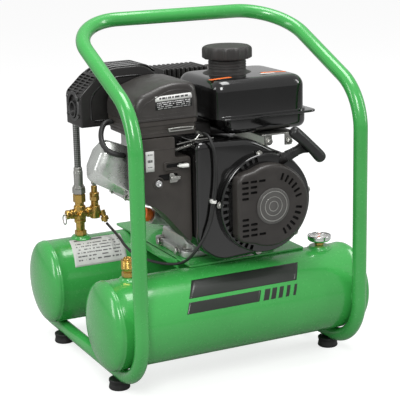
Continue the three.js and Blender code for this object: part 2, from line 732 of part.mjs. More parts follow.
// ---- engine: muffler and its guard ----
const guardOutline = (inset) => rounded([
  [mufflerLeft + inset, mufflerBottom + rise - (inset ? 5 : 0), 0],
  [mufflerLeft + inset, 503 + rise, 3], [-194 + inset * 0.6, 532 + rise - inset, 4],
  [-168, 546 + rise - inset, 14], [-98, 547 + rise - inset, 16], [mufflerRight - inset, 520 + rise - inset, 12],
  [mufflerRight - inset, mufflerBottom + rise - (inset ? 5 : 0), 0],
], 0);
const outletAt = vec(mufflerLeft, 5, outletZ + rise);
const mufflerGuard = () => {
  const shell = carried(guardOutline(0), mufflerFront, mufflerBack);
  const space = carried(guardOutline(2), mufflerFront + 2, mufflerBack - 2);
  return cut(shell, space, rod(17, -5, 8, alongX, outletAt, 24));
};
addNode("muffler_guard", mufflerGuard(), blackPaint());

const muffler = () => {
  const corners = [[-212, 452], [-82, 452], [-82, 516], [-150, 530], [-196, 516], [-212, 500]];
  const outline = rounded(corners.map(([x, z]) => [x, z + rise]), 12);
  const can = carried(outline, -24, 33, 4);
  const pipe = rod(15, -2, 20, alongX, outletAt, 20);
  const pipeHole = rod(12, -6, 26, alongX, outletAt, 20);
  const inletTop = 460 + rise;
  const inlet = rod(13, 430 + gap + rise, inletTop, alongZ, vec(-115, 0, 0), 16);
  return cut(join(can, pipe, inlet), pipeHole);
};
addNode("muffler", muffler(), blackPaint());

// ---- engine: oil filler cap ----
const oilAxis = vec(-0.94, 0, 0.34);
const oilCap = () =>
  stepped([[9, 6 + gap, 10], [13, 10, 21], [8, 21, 25]], oilAxis, vec(-86, -15, 267 + rise), 16);
addNode("oil_filler_cap", oilCap(), redPlastic());

// ---- pump ----
const pumpCrankcase = () => {
  const body = rod(pumpRadius, pumpFront, pumpBack, alongY, crankAt(0), 20);
  const foot = block([crankX - 48, pumpFront + 40, plateTop + gap], [crankX + 48, pumpBack - 6, crankZ - 30]);
  const deck = block([crankX - 36, pumpY - 36, crankZ], [crankX + 36, pumpBack - 2, crankZ + pumpRadius + 6]);
  const space = rod(pumpRadius - 5, pumpFront - 5, pumpBack - 6, alongY, crankAt(0), 20);
  const hole = rod(shaftRadius + runningGap, pumpBack - 20, pumpBack + 5, alongY, crankAt(0));
  return cut(join(body, foot, deck), space, hole);
};
addNode("pump_crankcase", pumpCrankcase(), castAlloy());

const pumpDeck = crankZ + pumpRadius + 6 + gap;
const pumpCylinderTop = pumpDeckZ + rise;
const pumpCylinder = () => {
  const fins = 4;
  const pitch = (pumpCylinderTop - pumpDeck - 8) / fins;
  const steps = [[38, pumpDeck, pumpDeck + 8]];
  for (let i = 0; i < fins; i++) {
    const from = pumpDeck + 8 + i * pitch;
    steps.push([34, from, from + pitch * 0.55], [46, from + pitch * 0.55, from + pitch]);
  }
  const wall = stepped(steps, alongZ, vec(crankX, pumpY - 4, 0));
  return cut(wall, rod(28, pumpDeck - 5, pumpCylinderTop + 5, alongZ, vec(crankX, pumpY - 4, 0)));
};
addNode("pump_cylinder", pumpCylinder(), castAlloy());

const dischargeZ = 488 + rise;
const pumpHead = () => {
  const [left, right] = [crankX - 50, crankX + 50];
  const [front, back] = [pumpY - 42, pumpY + 36];
  const outline = rounded([[left, front], [right, front], [right, back], [left, back]], 8);
  const body = raised(outline, pumpCylinderTop + gap, pumpTopZ + rise, 3);
  const grooves = [];
  for (let i = 0; i < 6; i++) {
    const y = pumpY - 34 + i * 12;
    grooves.push(block([left - 5, y, pumpTopZ - 14 + rise], [left + 62, y + 5, pumpTopZ + 5 + rise]));
  }
  const boss = rod(12, 0, 14, vec(-1, 0, 0), vec(left + 1, pumpY, dischargeZ), 16);
  return join(cut(body, ...grooves), boss);
};
addNode("pump_head", pumpHead(), blackPaint());

const intakeFilter = () =>
  stepped([[10, gap, 8], [22, 8, 34], [19, 34, 38]], alongX, vec(crankX + 50, pumpY, dischargeZ - 2), 20);
addNode("pump_intake_filter", intakeFilter(), blackPlastic());

const pumpFan = () => {
  const [front, back] = [pumpBack + 6, pumpBack + 22];
  const hub = rod(22, front, back, alongY, crankAt(0));
  const disc = rod(54, front, front + 2.5, alongY, crankAt(0), 20);
  const blades = [];
  const bladeCount = 8;
  for (let i = 0; i < bladeCount; i++) {
    const blade = block([18, front + 1, -1.3], [56, back, 1.3]);
    blades.push(blade.rotate([0, (360 * i) / bladeCount, 0]).translate([crankX, 0, crankZ]));
  }
  return cut(join(hub, disc, ...blades), rod(shaftRadius + gap, front - 5, back + 5, alongY, crankAt(0)));
};
addNode("pump_fan", pumpFan(), castAlloy());

const fanGuard = () => {
  const [front, back] = [pumpBack + gap, pumpBack + 34];
  const shell = rod(64, front, back, alongY, crankAt(0), 20);
  const space = rod(61.5, front + 2, back - 2, alongY, crankAt(0), 20);
  const inlet = rod(50, front - 5, front + 5, alongY, crankAt(0), 20);
  const windows = [];
  for (let i = 0; i < 3; i++) {
    const y = back - 4;
    const bars = block([-38, y, 10 + 16 * i], [38, y + 10, 18 + 16 * i]);
    windows.push(bars.translate([crankX, 0, crankZ]), bars.translate([crankX, 0, crankZ - 60]));
  }
  return cut(shell, space, inlet, ...windows);
};
addNode("pump_fan_guard", fanGuard(), blackPaint());

// ---- discharge: check valve, braided hose, pilot and safety valves ----
const bungTopZ = tankZ + bossTop;
const valveAt = (z = 0) => vec(checkValveX, tankHalfSpacing, z);
const valveLift = bungTopZ - 204.7;
const crossZ = 248 + valveLift;
const checkValve = () => {
  const stack = stepped([
    [stemRadius, bungTopZ - stemReach, bungTopZ + gap], [11, bungTopZ + gap, bungTopZ + 10],
    [9, bungTopZ + 10, crossZ - 17], [12, crossZ - 17, crossZ + 17],
    [9, crossZ + 17, crossZ + 22], [12, crossZ + 22, crossZ + 38],
  ], alongZ, valveAt(), 16);
  const arm = rod(8, -14, 22, alongX, valveAt(crossZ), 16);
  return join(stack, arm);
};
addNode("check_valve", checkValve(), brass());

const fittingZ = crossZ + 38 + gap;
const braidZ = fittingZ + 52;
const hoseFitting = () => stepped([
  [13, fittingZ, fittingZ + 13], [10, fittingZ + 13, fittingZ + 17], [9.5, fittingZ + 17, braidZ - gap],
], alongZ, valveAt(), 16);
addNode("hose_fitting", hoseFitting(), steel());

const dischargeHose = () => {
  const turnZ = dischargeZ;
  const bossEnd = crankX - 50 - 13 - gap;
  const route = [
    { at: valveAt(braidZ), bend: 0 },
    { at: valveAt(turnZ), bend: 52 },
    { at: vec(checkValveX + 82, pumpY, turnZ), bend: 60 },
    { at: vec(bossEnd, pumpY, turnZ), bend: 0 },
  ];
  return tube(bentRoute(route, 9), 6.4, 12);
};
addNode("discharge_hose", dischargeHose(), steel());

const pilotX = checkValveX + 31;
const pilotValve = () => {
  const stack = stepped([
    [10, crossZ - 13, crossZ + 11], [7, crossZ + 11, crossZ + 21], [9.5, crossZ + 21, crossZ + 37],
    [6, crossZ + 37, crossZ + 50],
  ], alongZ, vec(pilotX, tankHalfSpacing, 0), 12);
  return cut(stack, rod(8 + gap, -40, 22 + gap, alongX, valveAt(crossZ), 16));
};
addNode("pilot_valve", pilotValve(), brass());

const pilotToggle = () => {
  const pivot = vec(pilotX, tankHalfSpacing, crossZ + 50 + gap + 4.5);
  const barrel = rod(4.5, -4, 4, alongY, pivot, 12);
  const tab = block([pivot.x, pivot.y - 4, pivot.z + 1], [pivot.x + 18, pivot.y + 4, pivot.z + 4]);
  return join(barrel, tab);
};
addNode("pilot_toggle", pilotToggle(), steel());

const safetyX = checkValveX - 14 - gap;
const safetyValve = () => {
  const [away, place] = [vec(-1, 0, 0), vec(safetyX, tankHalfSpacing, crossZ)];
  const stack = stepped([[9.5, 0, 5], [7, 5, 8], [9, 8, 14]], away, place);
  return cut(stack, rod(2 + runningGap, 4, 40, away, place, 10));
};
addNode("safety_valve", safetyValve(), brass());

const safetyRing = () => {
  const stem = rod(2, 5, 18, vec(-1, 0, 0), vec(safetyX, tankHalfSpacing, crossZ), 10);
  const ringCentre = vec(safetyX - 17, tankHalfSpacing, crossZ - 9);
  const ring = new THREE.TorusGeometry(9, 1.2, 6, 16).rotateY(Math.PI / 2);
  return join(stem, toSolid(ring.translate(ringCentre.x, ringCentre.y, ringCentre.z)));
};
addNode("safety_pull_ring", safetyRing(), steel());

// ---- throttle cylinder and its cable ----
const cableStart = vec(-117, 138, 223 + valveLift);
const cylinderStart = vec(pilotX + 15, tankHalfSpacing - 2, crossZ - 6);
const throttleRun = cableStart.clone().sub(cylinderStart);
const throttleCylinder = () => {
  const length = throttleRun.length();
  const steps = [[5, 0, 6], [7.5, 6, length - 6], [4, length - 6, length - 2.5]];
  return stepped(steps, throttleRun, cylinderStart);
};
addNode("throttle_cylinder", throttleCylinder(), brass());

const cableRadius = 2.6;
const throttleCable = () => {
  const points = [
    cableStart, vec(-113, 122, 214), vec(-113, 100, 209), vec(-117, 70, 206), vec(-122, 40, 203),
    vec(-126, 0, 201), vec(-124, -34, 200), vec(-118, -66, 200), vec(-108, -94, 201), vec(-97, -118, 204),
    vec(-89, -138, 211), vec(-86, -158, 223), vec(-80, -175, 241), vec(-68, -182, 263), vec(-56, -184, 289),
    vec(-50, -185, 317), vec(-45, -185, 347), vec(-43, -185, 378), vec(-45, -184, 405), vec(-48, -183, 420),
    vec(-50, -177, 433), vec(-50, -166, 438), vec(-50, -152, 438.5),
  ];
  const curve = new THREE.CatmullRomCurve3(points, false, "centripetal");
  return tube(curve.getPoints(40), cableRadius, 8);
};
addNode("throttle_cable", throttleCable(), rubber());

// ---- front tank fittings ----
const gaugeAt = vec(gaugeX, -tankHalfSpacing, 0);
const dialZ = bungTopZ + 9;
const gaugeRadius = 21.5;
const gaugeBody = () => {
  const stem = stepped([
    [stemRadius, bungTopZ - stemReach, bungTopZ + gap], [8, bungTopZ + gap, bungTopZ + 5],
    [6, bungTopZ + 5, dialZ - 2], [13, dialZ - 2, dialZ],
  ], alongZ, gaugeAt);
  const caseProfile = [
    [0, dialZ], [gaugeRadius - 3, dialZ], [gaugeRadius, dialZ + 3], [gaugeRadius, dialZ + 11], [0, dialZ + 11],
  ];
  const caseSolid = turned(caseProfile, alongZ, gaugeAt, 16);
  const dialSpace = rod(gaugeRadius - 2, dialZ + 5, dialZ + 20, alongZ, gaugeAt, 16);
  const postHole = rod(1 + runningGap, dialZ + 3, dialZ + 10, alongZ, gaugeAt, 8);
  return cut(join(stem, caseSolid), dialSpace, postHole);
};
addNode("gauge_body", gaugeBody(), steel());

const gaugeNeedle = () => {
  const pointer = raised(rounded([[-1.6, -4], [1.6, -4], [0.4, 14], [-0.4, 14]], 0.3), dialZ + 6.4, dialZ + 7.2);
  const turn = pointer.rotate([0, 0, 130]).translate([gaugeX, -tankHalfSpacing, 0]);
  return join(turn, rod(1, dialZ + 4, dialZ + 8, alongZ, gaugeAt, 8));
};
addNode("gauge_needle", gaugeNeedle(), redPlastic());
const gaugeLens = () => {
  const rim = gaugeRadius - 2.4;
  return turned([[0, dialZ + 9], [rim, dialZ + 9], [rim, dialZ + 10.2], [0, dialZ + 11]], alongZ, gaugeAt);
};
addNode("gauge_lens", gaugeLens(), finish(0xe8f0f2, 0.05, 0));

const couplerAt = vec(couplerX, -tankHalfSpacing, 0);
const sleeveZ = bungTopZ + 13;
const couplerBody = () => {
  const outside = stepped([
    [stemRadius, bungTopZ - stemReach, bungTopZ + gap], [11, bungTopZ + gap, bungTopZ + 10],
    [8, bungTopZ + 10, bungTopZ + 34],
  ], alongZ, couplerAt);
  return cut(outside, rod(5, bungTopZ + 14, bungTopZ + 40, alongZ, couplerAt, 12));
};
addNode("coupler_body", couplerBody(), brass());
const couplerSleeve = () => {
  const [low, high] = [sleeveZ, sleeveZ + 17];
  const inner = 8 + runningGap;
  const profile = [
    [inner, low], [11.5, low], [12, low + 3], [11, low + 9], [12, high - 3], [11, high], [inner, high], [inner, low],
  ];
  return turned(profile, alongZ, couplerAt, 14);
};
addNode("coupler_sleeve", couplerSleeve(), steel());

// ---- drain valves ----
for (const [side, sideName] of [[-1, "front"], [1, "rear"]]) {
  const axis = drainAxis(side);
  const centre = vec(drainX, side * tankHalfSpacing, tankZ);
  const body = () => stepped([[stemRadius, bossTop - stemReach, bossTop + gap], [8, bossTop + gap, bossTop + 8],
    [5.5, bossTop + 8, bossTop + 20]], axis, centre, 12);
  const handle = () => {
    const bar = block([-12, -2, 0], [12, 2, 3]);
    const turn = new THREE.Quaternion().setFromUnitVectors(alongZ, axis);
    const place = centre.clone().addScaledVector(axis, bossTop + 20 + gap);
    return bar.transform(new THREE.Matrix4().compose(place, turn, vec(1, 1, 1)).elements);
  };
  addNode(`drain_valve_${sideName}`, body(), brass());
  addNode(`drain_handle_${sideName}`, handle(), steel());
}

// The origin is the middle of the part's footprint.
const rearReach = Math.max(tankHalfSpacing + tankRadius, railRearY);
const frontReach = -(uprightY - tubeRadius);
part.position.y = (frontReach - rearReach) / 2;

export default part;
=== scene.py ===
import math
import bmesh
import bpy
import numpy as np
from mathutils import Matrix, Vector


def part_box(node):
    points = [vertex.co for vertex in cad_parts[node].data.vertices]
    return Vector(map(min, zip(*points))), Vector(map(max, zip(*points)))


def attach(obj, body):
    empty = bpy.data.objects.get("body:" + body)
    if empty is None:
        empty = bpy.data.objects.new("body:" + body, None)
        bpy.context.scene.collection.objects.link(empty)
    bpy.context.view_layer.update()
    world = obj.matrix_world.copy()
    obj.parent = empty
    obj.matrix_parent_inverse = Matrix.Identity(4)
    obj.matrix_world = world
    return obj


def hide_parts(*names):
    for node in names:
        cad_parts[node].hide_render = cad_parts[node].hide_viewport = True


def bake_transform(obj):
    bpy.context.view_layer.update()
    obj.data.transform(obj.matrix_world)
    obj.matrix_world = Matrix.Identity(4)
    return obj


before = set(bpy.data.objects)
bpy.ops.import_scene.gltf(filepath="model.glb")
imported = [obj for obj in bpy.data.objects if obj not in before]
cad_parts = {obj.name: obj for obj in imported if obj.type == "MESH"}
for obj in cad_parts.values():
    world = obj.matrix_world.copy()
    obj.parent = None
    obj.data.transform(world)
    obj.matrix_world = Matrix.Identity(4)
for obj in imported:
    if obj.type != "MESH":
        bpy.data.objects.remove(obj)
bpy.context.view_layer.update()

# Lengths are millimetres until a piece is made. X runs along the tanks, Y to the back with
# its zero midway between the tanks, and Z up.
mm = 0.001
tankLow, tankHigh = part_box("front_tank")[0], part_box("rear_tank")[1]
middleY = (tankLow.y + tankHigh.y) / 2

# ---- camera and light ----
print("camera and light")
camera = {"place": (-1.0102, -2.0743, 0.8574), "aim": (0.4303, 0.8697, -0.2419), "roll": -1.237, "lens": 115.1}


def makeCamera():
    forward = np.array(camera["aim"])
    right = np.cross(forward, (0, 0, 1))
    right /= np.linalg.norm(right)
    up = np.cross(right, forward)
    roll = math.radians(camera["roll"])
    turnedRight = math.cos(roll) * right + math.sin(roll) * up
    turnedUp = math.cos(roll) * up - math.sin(roll) * right
    data = bpy.data.cameras.new("camera")
    data.lens = camera["lens"]
    data.sensor_width = 36
    data.clip_end = 60
    holder = bpy.data.objects.new("camera", data)
    turn = Matrix((turnedRight, turnedUp, -forward)).transposed().to_4x4()
    x, y, z = camera["place"]
    holder.matrix_world = Matrix.Translation((x, y + middleY, z)) @ turn
    bpy.context.scene.collection.objects.link(holder)
    bpy.context.scene.camera = holder


def areaLight(name, place, size, power, colour=(1, 1, 1)):
    data = bpy.data.lights.new(name, "AREA")
    data.shape = "RECTANGLE"
    data.size, data.size_y = size
    data.energy = power
    data.color = colour
    holder = bpy.data.objects.new(name, data)
    target = np.array((0, 0, 0.3)) - np.array(place)
    away = -target / np.linalg.norm(target)
    side = np.cross((0, 0, 1), away)
    side /= np.linalg.norm(side)
    turn = Matrix((side, np.cross(away, side), away)).transposed().to_4x4()
    holder.matrix_world = Matrix.Translation(place) @ turn
    bpy.context.scene.collection.objects.link(holder)


makeCamera()
areaLight("keySoftbox", (-1.3, -2.1, 2.2), (0.8, 1.3), 44)
areaLight("topSoftbox", (0.3, 0.0, 2.8), (1.6, 1.2), 44)
areaLight("rightStrip", (2.3, -1.2, 1.3), (0.4, 1.8), 16)
areaLight("leftStrip", (-2.4, 0.3, 1.2), (0.5, 1.8), 16)
world = bpy.data.worlds.new("studio")
world.use_nodes = True
dim = world.node_tree.nodes["Background"]
dim.inputs["Color"].default_value = (1, 1, 1, 1)
dim.inputs["Strength"].default_value = 0.5
plain = world.node_tree.nodes.new("ShaderNodeBackground")
plain.inputs["Color"].default_value = (1, 1, 1, 1)
seen = world.node_tree.nodes.new("ShaderNodeLightPath")
choice = world.node_tree.nodes.new("ShaderNodeMixShader")
world.node_tree.links.new(seen.outputs["Is Camera Ray"], choice.inputs[0])
world.node_tree.links.new(dim.outputs[0], choice.inputs[1])
world.node_tree.links.new(plain.outputs[0], choice.inputs[2])
world.node_tree.links.new(choice.outputs[0], world.node_tree.nodes["World Output"].inputs["Surface"])
bpy.context.scene.world = world
bpy.context.scene.view_settings.view_transform = "Standard"


# ---- shader writing ----
class Signal:
    """A socket that can be used in plain expressions."""

    def __init__(self, tree, socket):
        self.tree = tree
        self.socket = socket

    def maths(self, operation, first, second):
        node = self.tree.nodes.new("ShaderNodeMath")
        node.operation = operation
        for spot, value in zip(node.inputs, (first, second)):
            plug(self.tree, spot, value)
        return Signal(self.tree, node.outputs[0])

    def __add__(self, other):
        return self.maths("ADD", self, other)

    def __radd__(self, other):
        return self.maths("ADD", other, self)

    def __sub__(self, other):
        return self.maths("SUBTRACT", self, other)

    def __rsub__(self, other):
        return self.maths("SUBTRACT", other, self)

    def __mul__(self, other):
        return self.maths("MULTIPLY", self, other)

    def __rmul__(self, other):
        return self.maths("MULTIPLY", other, self)

    def __truediv__(self, other):
        return self.maths("DIVIDE", self, other)

    def __gt__(self, other):
        return self.maths("GREATER_THAN", self, other)

    def __lt__(self, other):
        return self.maths("LESS_THAN", self, other)

    def __mod__(self, other):
        return self.maths("FLOORED_MODULO", self, other)


def plug(tree, spot, value):
    if isinstance(value, Signal):
        tree.links.new(value.socket, spot)
    elif spot.type == "RGBA" and len(value) == 3:
        spot.default_value = (*value, 1)
    else:
        spot.default_value = value


class Finish:
    def __init__(self, name):
        self.material = bpy.data.materials.new(name)
        self.material.use_nodes = True
        self.tree = self.material.node_tree
        self.surface = self.tree.nodes["Principled BSDF"]

    def node(self, kind, settings=None, values=None, output=0):
        """Any node: its settings are set first, then the values or links of its sockets."""
        made = self.tree.nodes.new(kind)
        for name, value in (settings or {}).items():
            setattr(made, name, value)
        for name, value in (values or {}).items():
            plug(self.tree, made.inputs[name], value)
        return Signal(self.tree, made.outputs[output])

    def coords(self):
        return self.node("ShaderNodeTexCoord", output="Object")

    def split(self, vector):
        parts = self.node("ShaderNodeSeparateXYZ", values={"Vector": vector}).socket.node.outputs
        return [Signal(self.tree, part) for part in parts]

    def scaled(self, size):
        return self.node("ShaderNodeMapping", values={"Vector": self.coords(), "Scale": size})

    def noise(self, scale, detail=3, rough=0.5, vector=None):
        values = {"Vector": vector or self.coords(), "Scale": scale, "Detail": detail, "Roughness": rough}
        return self.node("ShaderNodeTexNoise", values=values)

    def ramp(self, signal, low, high, toLow=0.0, toHigh=1.0):
        values = {"Value": signal, "From Min": low, "From Max": high, "To Min": toLow, "To Max": toHigh}
        return self.node("ShaderNodeMapRange", values=values)

    def blend(self, factor, first, second):
        made = self.tree.nodes.new("ShaderNodeMix")
        made.data_type = "RGBA"
        colours = [spot for spot in made.inputs if spot.type == "RGBA"]
        plug(self.tree, made.inputs[0], factor)
        plug(self.tree, colours[0], first)
        plug(self.tree, colours[1], second)
        return Signal(self.tree, [spot for spot in made.outputs if spot.type == "RGBA"][0])

    def bump(self, height, distance, strength=1.0, under=None):
        values = {"Height": height, "Distance": distance, "Strength": strength}
        if under:
            values["Normal"] = under
        return self.node("ShaderNodeBump", values=values)

    def set(self, **sockets):
        for name, value in sockets.items():
            plug(self.tree, self.surface.inputs[name.replace("_", " ")], value)
        return self.material

    def wear(self):
        """Light along sharp outer edges, from the surface's own pointiness."""
        geometry = self.node("ShaderNodeNewGeometry").socket.node
        return self.ramp(Signal(self.tree, geometry.outputs["Pointiness"]), 0.53, 0.62)


def paint(name, colour, dark, rough, coat=0.5, peel=0.00002):
    """Sprayed enamel: a slow drift of tone, dust that dulls it, and orange peel."""
    f = Finish(name)
    drift = f.noise(9, 3)
    dust = f.noise(140, 4, 0.7)
    rightful = f.blend(f.ramp(drift, 0.35, 0.7), dark, colour)
    roughness = f.ramp(dust, 0.3, 0.8, rough * 0.85, rough * 1.25)
    texture = f.bump(f.noise(260, 2), peel, 0.5)
    return f.set(Base_Color=rightful, Roughness=roughness, Normal=texture, Coat_Weight=coat, Coat_Roughness=0.04)


def plastic(name, colour, rough, grain=900, depth=0.00004, specular=0.5):
    """Moulded plastic: fine grain in the surface and slight mottling."""
    f = Finish(name)
    mottle = f.ramp(f.noise(30, 4, 0.6), 0.3, 0.75)
    lighter = tuple(min(1, 1.35 * c + 0.004) for c in colour)
    texture = f.bump(f.noise(grain, 3, 0.6), depth, 0.7)
    roughness = f.ramp(f.noise(60, 3), 0.3, 0.7, rough - 0.06, rough + 0.08)
    f.surface.inputs["Specular IOR Level"].default_value = specular
    return f.set(Base_Color=f.blend(mottle, colour, lighter), Roughness=roughness, Normal=texture)


def castMetal(name, colour, rough, grain=420, depth=0.00012, metal=0.85):
    """Die casting: pebbled skin, grey blotches, and rubbed edges."""
    f = Finish(name)
    blotch = f.ramp(f.noise(28, 5, 0.65), 0.3, 0.72)
    darker = tuple(c * 0.72 for c in colour)
    base = f.blend(blotch, darker, colour)
    skin = f.bump(f.noise(grain, 4, 0.7), depth, 0.8)
    roughness = f.ramp(f.noise(90, 3), 0.3, 0.7, rough - 0.1, rough + 0.1)
    return f.set(Base_Color=f.blend(f.wear(), base, (0.8, 0.8, 0.78)), Roughness=roughness, Metallic=metal, Normal=skin)


def barMetal(name, colour, rough, tone=0.75, scratch=0.00002):
    """Turned or plated metal: fine scratches and a drift in tone."""
    f = Finish(name)
    drift = f.ramp(f.noise(45, 4, 0.6), 0.3, 0.75)
    fine = f.noise(1, 3, 0.6, f.scaled((300, 300, 2200)))
    darker = tuple(c * tone for c in colour)
    roughness = f.ramp(fine, 0.3, 0.7, rough * 0.8, rough * 1.3)
    texture = f.bump(fine, scratch, 0.5)
    return f.set(Base_Color=f.blend(drift, darker, colour), Roughness=roughness, Metallic=1.0, Normal=texture)


def braidFinish():
    """Woven wire: two crossing sets of strands in the piece's own UV, u round and v along."""
    f = Finish("braidedWire")
    u, v, _ = f.split(f.node("ShaderNodeUVMap"))
    leaning = f.node("ShaderNodeMath", {"operation": "SINE"}, {0: (u * 6 + v * 130) * 6.2832})
    falling = f.node("ShaderNodeMath", {"operation": "SINE"}, {0: (u * 6 - v * 130) * 6.2832})
    weave = leaning * falling
    height = f.ramp(weave, -1, 1)
    # Painted shade: the weave's low parts are coloured near black and its raised strands light grey.
    colour = f.blend(height, (0.05, 0.05, 0.05), (0.34, 0.35, 0.34))
    return f.set(Base_Color=colour, Roughness=f.ramp(height, 0, 1, 0.6, 0.32), Metallic=0.9,
                 Normal=f.bump(height, 0.0004, 1.0))


def printedFinish(name, ground, ink, rows, heading=0.0, rough=0.45, margin=0.08, seed=0.0):
    """A sticker in UV: bars for its lines, broken at random into dashes, and one heading bar."""
    f = Finish(name)
    u, v, _ = f.split(f.node("ShaderNodeUVMap"))
    line = (v * rows) % 1.0
    word = f.node("ShaderNodeTexNoise", {"noise_dimensions": "2D"}, {
        "Vector": f.node("ShaderNodeCombineXYZ", values={
            "X": u * 26, "Y": f.node("ShaderNodeMath", {"operation": "FLOOR"}, {0: v * rows}) * 3.7 + seed}),
        "Scale": 1.0, "Detail": 0.0})
    inked = (line > 0.35) * (line < 0.72) * (word > 0.42)
    body = (v < (1 - heading)) * inked
    top = (v > (1 - heading * 0.8)) * (v < (1 - heading * 0.25)) * (u < 0.62)
    inside = (u > margin) * (u < (1 - margin)) * (v > margin) * (v < (1 - margin * 0.7))
    mask = (body + top) * inside
    smudge = f.ramp(f.noise(60, 3), 0.3, 0.7)
    paper = f.blend(smudge, ground, tuple(c * 0.9 for c in ground))
    return f.set(Base_Color=f.blend(mask, paper, ink), Roughness=rough)


print("finishes")
greenPaint = paint("greenPaint", (0.050, 0.40, 0.078), (0.042, 0.35, 0.066), 0.25, 0.6)
glossBlack = paint("glossBlack", (0.006, 0.006, 0.006), (0.004, 0.004, 0.004), 0.16, 0.8, 0.000008)
satinBlack = paint("satinBlack", (0.016, 0.015, 0.014), (0.011, 0.010, 0.010), 0.36, 0.1, 0.00003)
panelPlastic = plastic("panelPlastic", (0.036, 0.031, 0.027), 0.4)
coverPlastic = plastic("coverPlastic", (0.032, 0.029, 0.027), 0.34, 700, 0.00002)
capPlastic = plastic("capPlastic", (0.026, 0.024, 0.023), 0.5, 500, 0.00005)
recoilFace = plastic("recoilFace", (0.024, 0.021, 0.019), 0.36, 800, 0.00003)
rubberFinish = plastic("rubber", (0.010, 0.010, 0.010), 0.5, 380, 0.00006)
gripRubber = plastic("gripRubber", (0.010, 0.010, 0.010), 0.36, 500, 0.00003)
castAlloy = castMetal("castAlloy", (0.60, 0.62, 0.60), 0.42)
darkCast = castMetal("darkCast", (0.26, 0.27, 0.27), 0.5)
rockerAlloy = castMetal("rockerAlloy", (0.80, 0.83, 0.79), 0.3, 600, 0.00005)
zincSteel = barMetal("zincSteel", (0.52, 0.52, 0.49), 0.32)
chrome = barMetal("chrome", (0.82, 0.82, 0.82), 0.12, 0.9, 0.000005)
brass = barMetal("brass", (0.70, 0.46, 0.13), 0.28)
darkSteel = barMetal("darkSteel", (0.16, 0.16, 0.16), 0.45)
orangePlastic = plastic("orangePlastic", (0.85, 0.16, 0.02), 0.35)
palePlastic = plastic("palePlastic", (0.72, 0.72, 0.69), 0.35)
filterMedia = plastic("filterMedia", (0.50, 0.44, 0.30), 0.8, 300, 0.0003)
ropeFinish = plastic("rope", (0.55, 0.55, 0.52), 0.8, 500, 0.0003)
# Near black: painted shade on the sheets behind slots, vents and the outlet, and the gauge's printed ticks.
voidBlack = plastic("voidBlack", (0.004, 0.004, 0.004), 0.7)
braid = braidFinish()
ratingLabel = printedFinish("ratingLabel", (0.62, 0.63, 0.60), (0.10, 0.10, 0.10), 9, 0.18)
cleanerLabel = printedFinish("cleanerLabel", (0.86, 0.86, 0.84), (0.06, 0.06, 0.06), 1, 0, 0.5, 0.1)
cleanerNote = printedFinish("cleanerNote", (0.006, 0.006, 0.006), (0.62, 0.62, 0.62), 4, 0, 0.5, 0.05, 7.0)
pictureLabel = printedFinish("pictureLabel", (0.75, 0.75, 0.73), (0.04, 0.04, 0.04), 3, 0, 0.5, 0.2, 3.0)
bandInk = paint("bandInk", (0.020, 0.024, 0.020), (0.014, 0.018, 0.014), 0.35, 0.3)
badgeFinish = plastic("badge", (0.07, 0.068, 0.064), 0.36)


def glassFinish():
    f = Finish("lens")
    smear = f.ramp(f.noise(40, 3), 0.3, 0.7, 0.03, 0.08)
    f.surface.inputs["Transmission Weight"].default_value = 1.0
    return f.set(Base_Color=(0.97, 0.99, 0.99), Roughness=smear, Alpha=f.ramp(f.noise(20, 2), 0.3, 0.7, 0.22, 0.28))


lensFinish = glassFinish()


# ---- shapes ----
class Shape:
    """Vertices in millimetres, faces, and one UV pair for each face corner."""

    def __init__(self, points, faces, uvs=None):
        self.points = np.asarray(points, float).reshape(-1, 3)
        self.faces = faces
        self.uvs = uvs or [[(0.0, 0.0)] * len(face) for face in faces]

    def __add__(self, other):
        offset = len(self.points)
        faces = self.faces + [tuple(i + offset for i in face) for face in other.faces]
        return Shape(np.vstack((self.points, other.points)), faces, self.uvs + other.uvs)

    def moved(self, step):
        return Shape(self.points + np.asarray(step, float), self.faces, self.uvs)

    def mapped(self, origin, along, across, up):
        """The shape's own axes laid along three directions from an origin."""
        basis = np.array((along, across, up), float)
        return Shape(np.asarray(origin, float) + self.points @ basis, self.faces, self.uvs)


def together(shapes):
    whole = shapes[0]
    for shape in shapes[1:]:
        whole = whole + shape
    return whole


def loft(rings, capStart=True, capEnd=True, loop=True):
    """A skin over rings of equal count: rings[i, j] is point j of ring i, joined in i and j."""
    rings = np.asarray(rings, float)
    n, m = rings.shape[:2]
    i, j = np.meshgrid(np.arange(n - 1), np.arange(m if loop else m - 1), indexing="ij")
    after = (j + 1) % m
    quads = np.stack((i * m + j, i * m + after, (i + 1) * m + after, (i + 1) * m + j), -1).reshape(-1, 4)
    lengths = np.linalg.norm(np.diff(rings.mean(1), axis=0), axis=1)
    run = np.concatenate(([0], np.cumsum(lengths))) * mm
    u = np.stack((j, j + 1, j + 1, j), -1).reshape(-1, 4) / (m if loop else m - 1)
    v = np.stack((run[i], run[i], run[i + 1], run[i + 1]), -1).reshape(-1, 4)
    faces = [tuple(face) for face in quads.tolist()]
    uvs = [list(zip(a, b)) for a, b in zip(u.tolist(), v.tolist())]
    if capStart:
        faces.append(tuple(range(m - 1, -1, -1)))
        uvs.append([(0.0, 0.0)] * m)
    if capEnd:
        faces.append(tuple(range((n - 1) * m, n * m)))
        uvs.append([(0.0, 0.0)] * m)
    return Shape(rings, faces, uvs)


def axes(direction):
    """Two directions square to one, and the one itself, all of unit length."""
    w = np.asarray(direction, float)
    w = w / np.linalg.norm(w)
    helper = np.array((0, 0, 1.0)) if abs(w[2]) < 0.9 else np.array((1.0, 0, 0))
    u = np.cross(helper, w)
    u /= np.linalg.norm(u)
    return u, np.cross(w, u), w


